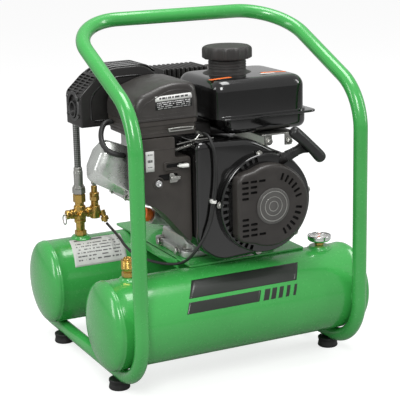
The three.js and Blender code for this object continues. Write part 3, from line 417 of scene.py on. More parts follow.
def filleted(corners, radius, closed=True, steps=5):
    """Each corner becomes an arc-like curve: a quadratic from side to side, cut to fit its sides."""
    corners = [tuple(c) for c in corners]
    count = len(corners)
    out = []
    for k, corner in enumerate(corners):
        own = corner[2] if len(corner) > 2 else radius
        here = np.array(corner[:2], float)
        if not closed and k in (0, count - 1):
            out.append(here)
            continue
        before = np.array(corners[k - 1][:2], float) - here
        after = np.array(corners[(k + 1) % count][:2], float) - here
        reach = min(own, np.linalg.norm(before) * 0.49, np.linalg.norm(after) * 0.49)
        if reach < 1e-3:
            out.append(here)
            continue
        enter = here + before / np.linalg.norm(before) * reach
        leave = here + after / np.linalg.norm(after) * reach
        t = np.linspace(0, 1, steps + 1)[:, None]
        out.extend((1 - t) ** 2 * enter + 2 * t * (1 - t) * here + t * t * leave)
    return np.array(out)


def lathe(profile, place, axis=(0, 0, 1), sides=48, soft=0.5, turn=0.0):
    """A profile of radius and height spun about an axis."""
    line = filleted(profile, soft, closed=False, steps=3)
    angle = np.linspace(0, 2 * math.pi, sides, endpoint=False) + turn
    u, v, w = axes(axis)
    spun = np.cos(angle)[:, None] * u + np.sin(angle)[:, None] * v
    rings = line[:, 0, None, None] * spun + line[:, 1, None, None] * w + np.asarray(place, float)
    return loft(rings, False, False)


def rod(radius, low, high, place, axis=(0, 0, 1), sides=40, soft=0.6):
    return lathe([(0, low), (radius, low), (radius, high), (0, high)], place, axis, sides, soft)


def hexagon(flats, low, high, place, axis=(0, 0, 1), soft=1.2):
    """A six-sided bar whose corners are turned down at both ends."""
    out = flats / math.sqrt(3)
    profile = [(0, low), (out - soft, low), (out, low + soft * 0.6), (out, high - soft * 0.6), (out - soft, high), (0, high)]
    return lathe(profile, place, axis, 6, 0)


def bolt(place, axis, flats=10, height=6, washer=9):
    return rod(washer, 0, 1.6, place, axis, 28, 0.5) + hexagon(flats, 1.4, 1.4 + height, place, axis)


def screw(place, axis, radius=5, height=3):
    """A round head with a hexagon socket."""
    profile = [(0, height - 2.2), (radius * 0.5, height - 2.2), (radius * 0.5, height), (radius * 0.85, height), (radius, height * 0.5), (radius, 0), (0, 0)]
    return lathe(profile, place, axis, 24, 0.3)


def insetRing(outline, amount):
    """An outline moved inwards along the mean of its neighbouring edges' normals."""
    before = outline - np.roll(outline, 1, 0)
    after = np.roll(outline, -1, 0) - outline
    normal = [np.stack((edge[:, 1], -edge[:, 0]), 1) / np.maximum(np.linalg.norm(edge, axis=1), 1e-9)[:, None] for edge in (before, after)]
    mean = normal[0] + normal[1]
    mean /= np.maximum(np.linalg.norm(mean, axis=1), 1e-9)[:, None]
    spread = np.clip((mean * normal[1]).sum(1), 0.4, 1)
    area = np.sum(outline[:, 0] * np.roll(outline[:, 1], -1) - np.roll(outline[:, 0], -1) * outline[:, 1])
    return outline - np.sign(area) * mean * (amount / spread)[:, None]


def prism(outline, low, high, lowEdge=0.8, highEdge=0.8, steps=3):
    """An outline carried from low to high, its two rims rolled over in quarter circles."""
    outline = np.asarray(outline, float)
    rings = []
    for k in range(steps + 1):
        angle = math.pi / 2 * k / steps
        ring = insetRing(outline, lowEdge * (1 - math.sin(angle)))
        rings.append(np.column_stack((ring, np.full(len(ring), low + lowEdge * (1 - math.cos(angle))))))
    for k in range(steps, -1, -1):
        angle = math.pi / 2 * k / steps
        ring = insetRing(outline, highEdge * (1 - math.sin(angle)))
        rings.append(np.column_stack((ring, np.full(len(ring), high - highEdge * (1 - math.cos(angle))))))
    return loft(rings)


def carried(outline, front, back, frontEdge=0.8, backEdge=0.8, steps=3):
    """An XZ outline carried from a front Y to a back Y."""
    return prism(outline, front, back, frontEdge, backEdge, steps).mapped((0, 0, 0), (1, 0, 0), (0, 0, 1), (0, 1, 0))


def boxOutline(low, high, radius, steps=5):
    return filleted([low, (high[0], low[1]), high, (low[0], high[1])], radius, steps=steps)


def block(low, high, edge=1.0, corner=2.0):
    outline = boxOutline(low[:2], high[:2], corner)
    return prism(outline, low[2], high[2], edge, edge)


def sweep(path, radius, sides=20, squeeze=1.0, capped=True):
    """A round section carried along a path, its frame turned as little as the path allows."""
    path = np.asarray(path, float)
    tangent = np.gradient(path, axis=0)
    tangent /= np.linalg.norm(tangent, axis=1)[:, None]
    u = axes(tangent[0])[0]
    sides_u = []
    for t in tangent:
        u = u - t * np.dot(u, t)
        u /= np.linalg.norm(u)
        sides_u.append(u)
    across = np.array(sides_u)
    other = np.cross(tangent, across)
    angle = np.linspace(0, 2 * math.pi, sides, endpoint=False)
    size = np.broadcast_to(np.asarray(radius, float), (len(path),))[:, None, None]
    circle = np.cos(angle)[None, :, None] * across[:, None] + squeeze * np.sin(angle)[None, :, None] * other[:, None]
    return loft(path[:, None] + size * circle, capped, capped)


def smoothPath(points, perSpan=6):
    """A Catmull-Rom curve through chosen points."""
    p = np.asarray(points, float)
    p = np.vstack((2 * p[0] - p[1], p, 2 * p[-1] - p[-2]))
    t = np.linspace(0, 1, perSpan, endpoint=False)[:, None, None]
    a, b, c, d = p[:-3], p[1:-2], p[2:-1], p[3:]
    curve = 0.5 * (2 * b + (c - a) * t + (2 * a - 5 * b + 4 * c - d) * t ** 2 + (3 * b - a - 3 * c + d) * t ** 3)
    return np.vstack((curve.transpose(1, 0, 2).reshape(-1, 3), p[-2]))


def bentPath(corners, perBend=18):
    """Straight runs joined by arcs: corners are (point, bend radius)."""
    points = [np.array(corners[0][0], float)]
    for k in range(1, len(corners) - 1):
        here, bend = np.array(corners[k][0], float), corners[k][1]
        back = np.array(corners[k - 1][0], float) - here
        ahead = np.array(corners[k + 1][0], float) - here
        back /= np.linalg.norm(back)
        ahead /= np.linalg.norm(ahead)
        half = math.acos(np.dot(back, ahead)) / 2
        start = here + back * bend / math.tan(half)
        middle = here + (back + ahead) / np.linalg.norm(back + ahead) * bend / math.sin(half)
        angle = np.linspace(0, math.pi - 2 * half, perBend + 1)[:, None]
        points.extend(middle + np.cos(angle) * (start - middle) - np.sin(angle) * back * bend)
    points.append(np.array(corners[-1][0], float))
    return np.array(points)


def patch(rows):
    """An open sheet, with u across each row and v up the rows."""
    rows = np.asarray(rows, float)
    sheet = loft(rows, False, False, loop=False)
    n, m = rows.shape[:2]
    i, j = np.meshgrid(np.arange(n - 1), np.arange(m - 1), indexing="ij")
    u = np.stack((j, j + 1, j + 1, j), -1).reshape(-1, 4) / (m - 1)
    v = np.stack((i, i, i + 1, i + 1), -1).reshape(-1, 4) / (n - 1)
    sheet.uvs = [list(zip(a, b)) for a, b in zip(u.tolist(), v.tolist())]
    return sheet


def piece(name, shape, finish, body="root", stands=(), sharp=32, sheetLike=False, thick=0.0):
    """Puts a shape into the frame as an object that rides on a body."""
    mesh = bpy.data.meshes.new(name)
    place = shape.points * mm + np.array((0, middleY, 0))
    mesh.from_pydata(place.tolist(), [], shape.faces)
    layer = mesh.uv_layers.new(name="UVMap")
    flat = np.array([pair for face in shape.uvs for pair in face], np.float32).reshape(-1)
    layer.data.foreach_set("uv", flat)
    work = bmesh.new()
    work.from_mesh(mesh)
    bmesh.ops.remove_doubles(work, verts=work.verts, dist=0.00001)
    bmesh.ops.dissolve_degenerate(work, edges=work.edges, dist=0.000005)
    if not sheetLike:
        bmesh.ops.recalc_face_normals(work, faces=work.faces)
    work.to_mesh(mesh)
    work.free()
    mesh.shade_smooth()
    mesh.set_sharp_from_angle(angle=math.radians(sharp))
    mesh.materials.append(finish)
    obj = bpy.data.objects.new(name, mesh)
    bpy.context.scene.collection.objects.link(obj)
    if thick:
        wall = obj.modifiers.new("wall", "SOLIDIFY")
        wall.thickness = thick * mm
        wall.offset = -1
    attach(obj, body)
    if stands:
        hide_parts(*stands)
    return obj


def carve(obj, tools, method="EXACT"):
    """Cuts closed shapes out of a piece and keeps the result as its mesh."""
    mesh = bpy.data.meshes.new("tool")
    mesh.from_pydata((tools.points * mm + np.array((0, middleY, 0))).tolist(), [], tools.faces)
    work = bmesh.new()
    work.from_mesh(mesh)
    bmesh.ops.remove_doubles(work, verts=work.verts, dist=0.00001)
    bmesh.ops.recalc_face_normals(work, faces=work.faces)
    work.to_mesh(mesh)
    work.free()
    tool = bpy.data.objects.new("tool", mesh)
    bpy.context.scene.collection.objects.link(tool)
    cutter = obj.modifiers.new("cut", "BOOLEAN")
    cutter.operation = "DIFFERENCE"
    cutter.solver = method
    cutter.object = tool
    bpy.context.view_layer.update()
    ready = obj.evaluated_get(bpy.context.evaluated_depsgraph_get())
    result = bpy.data.meshes.new_from_object(ready)
    obj.modifiers.remove(cutter)
    obj.data = result
    bpy.data.objects.remove(tool)
    result.shade_smooth()
    result.set_sharp_from_angle(angle=math.radians(32))
    return obj


def wallPrism(outline, front, back, wall, frontEdge=1.0):
    """A tray open at its back: an XZ outline with a wall round it and a closed front."""
    outline = np.asarray(outline, float)
    rings = []
    for k in range(5):
        angle = math.pi / 2 * k / 4
        ring = insetRing(outline, frontEdge * (1 - math.sin(angle)))
        rings.append((ring, front + frontEdge * (1 - math.cos(angle))))
    rings.append((outline, back))
    rings.append((insetRing(outline, wall), back))
    rings.append((insetRing(outline, wall), front + wall + frontEdge * 0.5))
    rings.append((insetRing(outline, wall + frontEdge * 0.5), front + wall))
    lines = [np.column_stack((ring[:, 0], np.full(len(ring), y), ring[:, 1])) for ring, y in rings]
    return loft(lines)


def band(outline, low, high, wall, edge=0.8):
    """A closed strip that follows an outline, with its edges broken."""
    rings = [(edge, low), (0, low + edge), (0, high - edge), (edge, high), (wall, high), (wall, low), (edge, low)]
    lines = []
    for inset, z in rings:
        line = insetRing(np.asarray(outline, float), inset) if inset else np.asarray(outline, float)
        lines.append(np.column_stack((line, np.full(len(line), z))))
    return loft(lines, False, False)


def tub(outline, base, top, wall, edge=1.5):
    """An open tray: an outline's wall and floor."""
    rings = [(edge, base), (edge * 0.3, base + edge * 0.3), (0, base + edge), (0, top), (wall, top), (wall, base + wall)]
    lines = []
    for inset, z in rings:
        line = insetRing(np.asarray(outline, float), inset) if inset else np.asarray(outline, float)
        lines.append(np.column_stack((line, np.full(len(line), z))))
    return loft(lines)


def arc(centre, radius, start, end, count=24):
    angle = np.radians(np.linspace(start, end, count))
    return [(centre[0] + radius * math.cos(a), centre[1] + radius * math.sin(a), 0) for a in angle]

# ---- frame and feet ----
print("frame and feet")
tubeFrame = {"radius": 12.7, "side": 214, "railZ": 31.5, "railEnd": 196, "frontY": -236.9, "frontBend": 88,
             "kneeZ": 494, "kneeBend": 100, "barY": 46, "barZ": 621, "cornerBend": 97}
tanks = {"radius": 77.9, "half": 262, "end": 22, "spacing": 146, "z": 122.4}
engineDeck = {"left": -76, "right": 155, "front": -144, "back": 192, "top": 204.6, "thick": 4, "lip": 16}


def frameSide(side):
    f = tubeFrame
    x = side * f["side"]
    return [((x, f["railEnd"], f["railZ"]), 0), ((x, f["frontY"], f["railZ"]), f["frontBend"]),
            ((x, f["frontY"], f["kneeZ"]), f["kneeBend"]), ((x, f["barY"], f["barZ"]), f["cornerBend"])]


def weldBead(centre, axis, along, across, size=2.2, count=90):
    """A rippled bead round an oval foot: the section's radius rises and falls along the run."""
    angle = np.linspace(0, 2 * math.pi, count)[:, None]
    u, v, w = axes(axis)
    path = np.asarray(centre, float) + np.cos(angle) * u * along + np.sin(angle) * v * across
    ripple = size * (1 + 0.12 * np.sin(angle[:, 0] * 26))
    return sweep(path, ripple, 8)


frameTube = sweep(bentPath(frameSide(-1) + frameSide(1)[::-1], 26), tubeFrame["radius"], 40)
piece("frameTube", frameTube, greenPaint, stands=["frame_tube"])
plugs = together([rod(11.2, 0, 2.4, (s * tubeFrame["side"], tubeFrame["railEnd"], tubeFrame["railZ"]), (0, 1, 0)) for s in (-1, 1)])
piece("frameEndPlugs", plugs, rubberFinish)
beads = []
for side in (-1, 1):
    x = side * tubeFrame["side"]
    beads.append(weldBead((x, -tanks["spacing"], 45.4), (0, 0, 1), 7.0, 12))
    beads.append(weldBead((x, tanks["spacing"], 45.4), (0, 0, 1), 7.0, 12))
    beads.append(weldBead((x, -224.2, tanks["z"]), (0, 1, 0), 7.0, 12))
piece("frameWelds", together(beads), greenPaint)

footPlaces = {"foot_front_left": (-214, -132), "foot_rear_left": (-214, 138), "foot_front_right": (214, -132), "foot_rear_right": (214, 138)}
footProfile = [(0, 2.2), (4.5, 2.2), (4.5, 0), (17.4, 0), (19.0, 2.2), (17.6, 9), (17.4, 12), (18.6, 15.2), (18.4, 18.3), (0, 18.3)]
for name, (x, y) in footPlaces.items():
    foot = lathe(footProfile, (x, y, 0), sides=56, soft=1.1)
    piece(name + "_rubber", foot, rubberFinish, stands=[name])

# ---- tanks ----
print("tanks")


def tankProfile():
    r, straight, deep = tanks["radius"], tanks["half"] - tanks["end"], tanks["end"]
    angle = np.linspace(0, math.pi / 2, 14)
    head = [(r * math.sin(a), straight + deep * math.cos(a)) for a in angle]
    seam = [(r, straight - 1.2), (r + 0.7, straight - 2.4), (r + 0.9, straight - 4), (r + 0.7, straight - 5.6), (r, straight - 6.8)]
    half = head + seam
    steps = [(r, h) for h in np.linspace(straight - 20, -(straight - 20), 16)]
    return [(radius, height) for radius, height in half] + steps + [(radius, -height) for radius, height in half[::-1]]


def bung(place, axis, radius, high=4.0):
    """A threaded boss with the fillet of its weld."""
    profile = [(0, -6), (radius + 4.5, -6), (radius + 3.6, -0.6), (radius + 0.8, 1.2), (radius, high - 1), (radius - 1, high), (0, high)]
    u, v, w = axes(axis)
    return lathe(profile, np.asarray(place, float) + w * tanks["radius"], axis, 48, 0.6)


def tankPiece(name, side, tops):
    centre = np.array((0, side * tanks["spacing"], tanks["z"]))
    shape = lathe(tankProfile(), centre, (1, 0, 0), 96, 0)
    for x, radius in tops:
        shape = shape + bung(centre + (x, 0, 0), (0, 0, 1), radius)
    shape = shape + bung(centre + (120, 0, 0), (0, -side, 0), 15)
    down = (0, -side * math.sin(math.radians(45)), -math.cos(math.radians(45)))
    shape = shape + bung(centre, down, 15)
    seam = np.array([(x, centre[1] - side * 0.5 * tanks["radius"], centre[2] - math.sqrt(0.75) * tanks["radius"]) for x in np.linspace(-234, 234, 160)])
    shape = shape + sweep(seam, 1.5 * (1 + 0.1 * np.sin(np.arange(160) * 1.9)), 8)
    piece(name + "_shell", shape, greenPaint, stands=[name], sharp=40)


tankPiece("front_tank", -1, [(186, 19), (-196, 15)])
tankPiece("rear_tank", 1, [(-168, 17)])


def tankPatch(side, xs, angles, lift):
    """A sheet that lies on a tank's wall: x across, and the angle up from level on its front."""
    x = np.linspace(xs[0], xs[1], 30)
    a = np.radians(np.linspace(angles[0], angles[1], 16))
    r = tanks["radius"] + lift
    lean = np.linspace(0, xs[2] if len(xs) > 2 else 0, 16)[:, None]
    gridX = x[None, :] + lean
    gridY = np.broadcast_to(side * tanks["spacing"] - r * np.cos(a)[:, None], gridX.shape)
    gridZ = np.broadcast_to(tanks["z"] + r * np.sin(a)[:, None], gridX.shape)
    return patch(np.stack((gridX, gridY, gridZ), -1))


decal = {"left": -112, "right": 100, "lean": 18, "bandLow": 36, "bandHigh": 62, "lineLow": 17, "lineHigh": 31}
bands = tankPatch(-1, (decal["left"], decal["right"], decal["lean"]), (decal["bandLow"], decal["bandHigh"]), 0.25)
bands = bands + tankPatch(-1, (decal["left"] - 10, 18, 8), (decal["lineLow"], decal["lineHigh"]), 0.25)
for k in range(5):
    bands = bands + tankPatch(-1, (26 + 15 * k, 37 + 13.6 * k, 8), (decal["lineLow"], decal["lineHigh"]), 0.25)
piece("frontTankBands", bands, bandInk, sheetLike=True, thick=0.2)
piece("rearTankLabel", tankPatch(1, (-207, -102, 10), (31, 82), 0.25), ratingLabel, sheetLike=True, thick=0.2)

pipe = rod(6.6, -70, 70, (120, 0, tanks["z"]), (0, 1, 0))
for side in (-1, 1):
    pipe = pipe + hexagon(21, 50, 63.7, (120, 0, tanks["z"]), (0, side, 0)) + rod(8.4, 44, 50.4, (120, 0, tanks["z"]), (0, side, 0))
piece("crossoverPipe", pipe, zincSteel, stands=["crossover_pipe"])

# ---- engine plate ----
print("engine plate")
d = engineDeck
deckOutline = boxOutline((d["left"], d["front"]), (d["right"], d["back"]), 5)
plate = prism(deckOutline, d["top"] - d["thick"], d["top"], 0.8, 0.8)
for x in (d["left"], d["right"] - 4):
    plate = plate + block((x, -88, d["top"] - 19.5), (x + 4, 88, d["top"] - 0.5), 0.7, 1.2)
piece("enginePlate", plate, greenPaint, stands=["engine_plate"])
deckBolts = [(-52, -84), (-52, 8), (118, -84), (118, 8), (14, 96), (88, 96), (14, 168), (88, 168)]
footTop = {"engine": 234.6, "pump": 214.6}
hardware = []
for x, y in deckBolts:
    high = d["top"] + (14 if y < 50 else 8)
    hardware.append(bolt((x, y, high), (0, 0, 1), 13, 7.5, 11))
piece("deckBolts", together(hardware), zincSteel)
sticker = patch([[(x, y, d["top"] + 0.25) for x in np.linspace(-8, 52, 8)] for y in np.linspace(-142, -120, 4)])
piece("deckSticker", sticker, cleanerLabel, sheetLike=True, thick=0.15)

# ---- engine castings ----
print("engine castings")
crank = {"x": 51, "z": 310.9, "tilt": 25, "front": -100, "back": 24, "radius": 66}
tilt = math.radians(crank["tilt"])
bore = np.array((-math.cos(tilt), 0, math.sin(tilt)))
boreSide = np.array((math.sin(tilt), 0, math.cos(tilt)))
crankCentre = np.array((crank["x"], 0, crank["z"]))


def onBore(shape):
    """Own X across the bore, own Y along the crank, own Z along the bore."""
    return shape.mapped(crankCentre, boreSide, (0, 1, 0), bore)


def boreBlock(along, across, y, edge=1.5, corner=4):
    return onBore(block((across[0], y[0], along[0]), (across[1], y[1], along[1]), edge, corner))


def crankRing(radius, low, high, sides=64, soft=1.0):
    return rod(radius, low, high, crankCentre, (0, 1, 0), sides, soft)


deck = engineDeck["top"] + 0.4
case = block((-68, -105, deck), (134, 28, deck + 13), 2.5, 12) + block((-58, -96, deck + 9), (124, 18, deck + 34), 5, 14)
case = case + block((-30, -90, deck + 24), (112, 18, crank["z"]), 6, 12) + crankRing(66, -100, 24)
case = case + crankRing(60, 22, 24)
for x in (-50, -18, 92, 116):
    case = case + block((x, -101, deck + 10), (x + 6, -90, deck + 52), 1.2, 1.5)
for z in (18, 34, 50):
    case = case + block((-34, -96, deck + z), (112, 20, deck + z + 3.5), 1.2, 3)
for k in range(6):
    start = 66 + k * 14
    case = case + boreBlock((start, start + 4.2), (-56, 48), (-84, 10), 1.2, 12)
case = case + boreBlock((50, 150), (-40, 40), (-76, 2), 4, 20)
oilAxis = np.array((-0.94, 0, 0.34))
oilPlace = np.array((-86, -15, 266.9))
case = case + rod(12.5, -70, -6, oilPlace, oilAxis, 36, 1.5) + rod(14.5, -8, 5.6, oilPlace, oilAxis, 36, 1.2)
piece("crankcaseCasting", case, castAlloy, stands=["crankcase"])
drainPlug = together([bolt((-68.5, y, deck + 10), (-1, 0, 0), 12, 6, 9) for y in (-78, -4)])
piece("oilDrainPlugs", drainPlug, zincSteel)

cover = crankRing(66, 24.4, 29) + crankRing(50, 28, 33.7)
ring = [crankCentre + (58 * math.cos(a), 28.6, 58 * math.sin(a)) for a in np.radians(np.arange(15, 360, 45))]
cover = cover + together([crankRing(1, 0, 0.1)] + [rod(6.5, 0, 1.6, p, (0, 1, 0), 24) for p in ring])
piece("crankcaseEndCover", cover, castAlloy, stands=["crankcase_cover"])
piece("endCoverBolts", together([bolt(p, (0, 1, 0), 8, 4, 6) for p in ring]), zincSteel)

head = boreBlock((150.4, 160), (-78, 32), (-98, 14), 1.5, 6)
for k in range(4):
    start = 163 + k * 10
    head = head + boreBlock((start, start + 3.6), (-79.5, 33), (-99, 15), 1.0, 8)
head = head + boreBlock((158, 199), (-62, 20), (-86, 4), 3, 10) + boreBlock((197, 205.8), (-79, 33), (-98, 15), 1.5, 6)
head = head + block((-134, -14, 392), (-96, 14, 429.6), 2, 4) + rod(17, -112, -90, (-108, 0, 391.9), (0, 1, 0))
piece("cylinderHeadCasting", head, castAlloy, stands=["cylinder_head"])

rocker = boreBlock((206.4, 213.5), (-81.5, 11.5), (-105.5, -36.5), 1.2, 7)


def rockerDome():
    """A faceted cap: rectangular rings with cut corners draw in towards the end."""
    steps = [(213, 0, 10), (242, 0.6, 13), (270, 2.4, 17), (279, 6.5, 17), (283, 11, 15), (284, 13.5, 14)]
    rings = []
    for along, inset, cut in steps:
        left, right, front, back = -76 + inset, 5.6 - inset, -101 + inset, -40 - inset
        outline = filleted([(left + cut, front), (right - cut, front), (right, front + cut), (right, back - cut),
                            (right - cut, back), (left + cut, back), (left, back - cut), (left, front + cut)], 2.0, steps=3)
        rings.append(np.column_stack((outline, np.full(len(outline), along))))
    return onBore(loft(rings))


rocker = rocker + rockerDome()
piece("rockerCoverCasting", rocker, rockerAlloy, stands=["rocker_cover"], sharp=24)
corners = [(-77, -101), (7, -101), (-77, -41), (7, -41)]
rockerBolts = together([onBore(bolt((a, y, 213.2), (0, 0, 1), 8, 4.5, 6)) for a, y in corners])
piece("rockerBolts", rockerBolts, zincSteel)

# ---- blower housing and starter ----
print("housing and starter")
housing = {"front": -176, "back": -106, "radius": 93, "left": -76, "sheet": 2.5}


def housingOutline(radius=93):
    shape = arc((crank["x"], crank["z"]), radius, -84, 72, 34)
    rest = [(34, 424, 22), (housing["left"], 428, 14), (housing["left"], 244, 26), (-34, 212.6, 20)]
    return filleted(shape + rest, 0, steps=7)


shell = wallPrism(housingOutline(), housing["front"], housing["back"], housing["sheet"], 9)
blower = piece("blowerShell", shell, glossBlack, stands=["blower_housing"])
carve(blower, crankRing(76, -190, -160, 80, 0))
lip = lathe([(91, -178.6), (91, -176), (88, -176), (88, -178.6), (91, -178.6)], crankCentre, (0, 1, 0), 96, 0.6)
ringBolts = [crankCentre + (87 * math.cos(a), -177, 87 * math.sin(a)) for a in np.radians((8, 96, 176, 262, 315))]

starter = {"radius": 88.5, "step": -188, "face": -213, "dRadius": 73, "dLeft": -67}


def starterOutline(grow=0.0):
    left = crank["x"] + starter["dLeft"] - grow
    shape = arc((crank["x"], crank["z"]), starter["dRadius"] + grow, -118, 118, 40)
    return filleted(shape + [(left, crank["z"] + 58 + grow, 22), (left, crank["z"] - 58 - grow, 22)], 0, steps=8)


ringProfile = [(60, -190.4), (86, -190.6), (88.5, -188), (88.5, -176.3), (86, -176.3), (86, -187), (60, -187), (60, -190.4)]
recoilRing = lathe(ringProfile, crankCentre, (0, 1, 0), 96, 1.4)
vents = []
for angle in list(range(104, 256, 8)):
    a = math.radians(angle)
    vent = block((77, -196, -3.1), (85.6, -184, 3.1), 0.1, 1.0)
    vents.append(vent.mapped(crankCentre, (math.cos(a), 0, math.sin(a)), (0, 1, 0), (-math.sin(a), 0, math.cos(a))))
ringObj = piece("recoilRing", recoilRing, glossBlack, stands=["recoil_cover"])
carve(ringObj, together(vents))
# Painted shade: a near-black ring set just behind the vents so that they read dark.
recoilRing = lathe([(74, -183.6), (87, -183.6), (87, -182.6), (74, -182.6), (74, -183.6)], crankCentre, (0, 1, 0), 96, 0)
piece("recoilRingBack", recoilRing, voidBlack)
piece("recoilRingEars", together([rod(5.5, 0, 12, p + (0, -5, 0), (0, 1, 0), 28) for p in ringBolts]) + lip, glossBlack)
piece("recoilBolts", together([bolt(p + (0, -5, 0), (0, -1, 0), 9, 4, 6.5) for p in ringBolts]), zincSteel)


def recoilSlots():
    """Columns of wide short slots on the left, and an arc of them round the badge on the right."""
    tools = []
    for column, reach in ((0, 12), (1, 27), (2, 43)):
        for row in (-47, -37.5, -28, -18.5, 18.5, 28, 37.5, 47):
            if abs(row) < reach:
                continue
            x, z = crank["x"] - 60 + column * 16.5, crank["z"] + row
            tools.append(carried(boxOutline((x, z - 2.3), (x + 13, z + 2.3), 1.6, 3), -225, -200, 0.1, 0.1, 1))
    for angle in list(range(-64, -8, 11)) + list(range(14, 76, 11)):
        a = math.radians(angle)
        slot = carried(boxOutline((-6.5, -2.3), (6.5, 2.3), 1.6, 3), -225, -200, 0.1, 0.1, 1)
        place = crankCentre + (53 * math.cos(a), 0, 53 * math.sin(a))
        tools.append(slot.mapped(place, (math.cos(a), 0, math.sin(a)), (0, 1, 0), (-math.sin(a), 0, math.cos(a))))
    return together(tools)


facePlate = piece("recoilFacePlate", wallPrism(starterOutline(), starter["face"], -190, 3, 7), recoilFace)
carve(facePlate, recoilSlots())
# Painted shade: a black sheet behind the face plate's slots stands for the dark inside.
piece("recoilScreen", carried(starterOutline(-5), -208, -206.5, 0.2, 0.2, 1), voidBlack)

badge = lathe([(0, -215.2), (30, -215.2), (32, -214.4), (32, -212), (0, -212)], crankCentre, (0, 1, 0), 72, 0.4)
piece("recoilBadge", badge, badgeFinish)
badgeRing = lathe([(25.5, -215.9), (27, -215.9), (27, -215.1), (25.5, -215.1), (25.5, -215.9)], crankCentre, (0, 1, 0), 72, 0.15)
for radius in (8, 16):
    badgeRing = badgeRing + lathe([(radius, -215.8), (radius + 1.4, -215.8), (radius + 1.4, -215.1), (radius, -215.1), (radius, -215.8)], crankCentre, (0, 1, 0), 60, 0.15)
piece("badgeRings", badgeRing, zincSteel)

ropeWay = np.array((0.548, -0.652, 0.523)) / np.linalg.norm((0.548, -0.652, 0.523))
ropeGuide = np.array((89, -192, 388.9))
guide = lathe([(4.5, -16), (9.5, -16), (9, -2), (8.4, 3), (6.5, 4), (4.6, 3), (4.5, -16)], ropeGuide, ropeWay, 36, 0.8)
guide = guide + block((68, -190, 372), (102, -180, 396), 3, 4)
piece("ropeGuide", guide, satinBlack)
gripAxis = np.array((0.743, 0.131, -0.657)) / np.linalg.norm((0.743, 0.131, -0.657))
gripCentre = ropeGuide + 46 * ropeWay


def gripShape():
    """A bar whose round section swells at its ends, on a stem that flares into it."""
    t = np.linspace(-1, 1, 60)
    radius = 9.6 + 1.6 * np.abs(t) ** 1.5
    radius = radius * np.sqrt(np.clip(1 - (np.abs(t) ** 14), 0.02, 1))
    middle = gripCentre + t[:, None] * 46.5 * gripAxis + (1 - t[:, None] ** 2) * 2.5 * ropeWay
    bar = sweep(middle, radius, 32, 1.0)
    s = np.linspace(0, 1, 30)
    stemRadius = 7.6 + 2.6 * (1 - s) ** 3 + 5.0 * s ** 4
    stem = sweep(ropeGuide + ropeWay * (4.6 + 36 * s[:, None]), stemRadius, 32)
    rings = together([lathe([(8.0, h), (9.3, h + 0.9), (8.0, h + 1.8), (7, h + 0.9), (8.0, h)], ropeGuide, ropeWay, 32, 0.3) for h in (12, 16, 20)])
    return bar + stem + rings


piece("starterHandle", gripShape(), gripRubber, body="grip", stands=["starter_grip"])
ropeStart, ropeEnd = ropeGuide - 14 * ropeWay, ropeGuide + 10 * ropeWay
rope = piece("starterRope", sweep(ropeStart + (ropeEnd - ropeStart) * np.linspace(0, 1, 60)[:, None], 2.3, 14), ropeFinish)
rope.parent = None
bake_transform(rope)

# ---- control panel ----
print("control panel")
panel = {"front": -158, "back": -112, "left": -176, "right": -78, "top": 440.9, "step": 404}


def panelOutline():
    return filleted([(-176, 440.9, 6), (-107, 440.9, 6), (-107, 404, 6), (-78, 404, 6), (-78, 247, 16), (-136, 316, 30), (-176, 337, 18)], 6, steps=6)


board = piece("controlPanel", wallPrism(panelOutline(), -158, -112, 2, 1.2), panelPlastic, stands=["control_panel"])
windows = [carried(boxOutline((-124, 387.6), (-90, 394.2), 3, 3), -170, -150, 0.1, 0.1, 1),
           carried(boxOutline((-139, 366.4), (-103, 377.4), 3, 3), -170, -150, 0.1, 0.1, 1)]
carve(board, together(windows))
# Painted shade: a black sheet behind the panel's two windows.
back = carried(boxOutline((-142, 362), (-86, 398), 3), -153, -151.6, 0.2, 0.2, 1)
piece("panelSlotBack", back, voidBlack)
ribs = lathe([(7.5, -157.6), (9, -159), (10.4, -159), (11.2, -157.5), (7.5, -157.5)], (-139.6, 0, 363), (0, 1, 0), 48, 0.4)
ribs = ribs + block((-128, -160, 396.4), (-84, -157, 398.2), 0.6, 0.8) + block((-128, -160, 383.4), (-84, -157, 385.4), 0.6, 0.8)
ribs = ribs + block((-129, -160.4, 384), (-126.4, -157, 397), 0.8, 1)
ribs = ribs + block((-178.4, -158.6, 420.4), (-106.6, -157, 422.2), 0.6, 0.8)
piece("panelRims", ribs, panelPlastic)
piece("panelBolt", screw((-139.6, -157.8, 363), (0, -1, 0), 6.4, 3.6), chrome)
picture = patch([[(x, -158.35, z) for x in np.linspace(-162, -146.4, 5)] for z in np.linspace(385, 420, 6)])
piece("panelPictures", picture, pictureLabel, sheetLike=True, thick=0.15)

for name, x, z, tall, finish, slotName, body in (("choke", -97, 390.9, 3, palePlastic, "pale_plastic", "choke"),
                                                ("fuelValve", -113, 371.9, 8, zincSteel, "plated_steel", "fuel_valve")):
    if name == "choke":
        corners = [(x - 9.5, z - 1), (x - 2, z - 2.6), (x + 9.5, z - 3), (x + 9.5, z + 3), (x - 2, z + 2.6), (x - 9.5, z + 1.2)]
        tip = carried(filleted(corners, 0.8), -172, -163, 1.2, 0.8)
    else:
        corners = [(x - 9.4, z - 8), (x + 3, z - 8), (x + 9.4, z - 2), (x + 9.4, z + 2), (x + 1, z + 3), (x - 3, z + 8), (x - 9.4, z + 8)]
        tip = carried(filleted(corners, 1.5), -168, -165, 0.8, 0.8) + carried(boxOutline((x - 9, z - 3), (x + 9, z + 3), 2), -172, -164, 1.4, 0.8)
    tip = tip + block((x - 2, -165, z - 1.6), (x + 2, -152, z + 1.6), 0.4, 0.6)
    node = "choke_lever" if name == "choke" else "fuel_valve_lever"
    piece(name + "Tip", tip, finish, body=body, stands=[node])

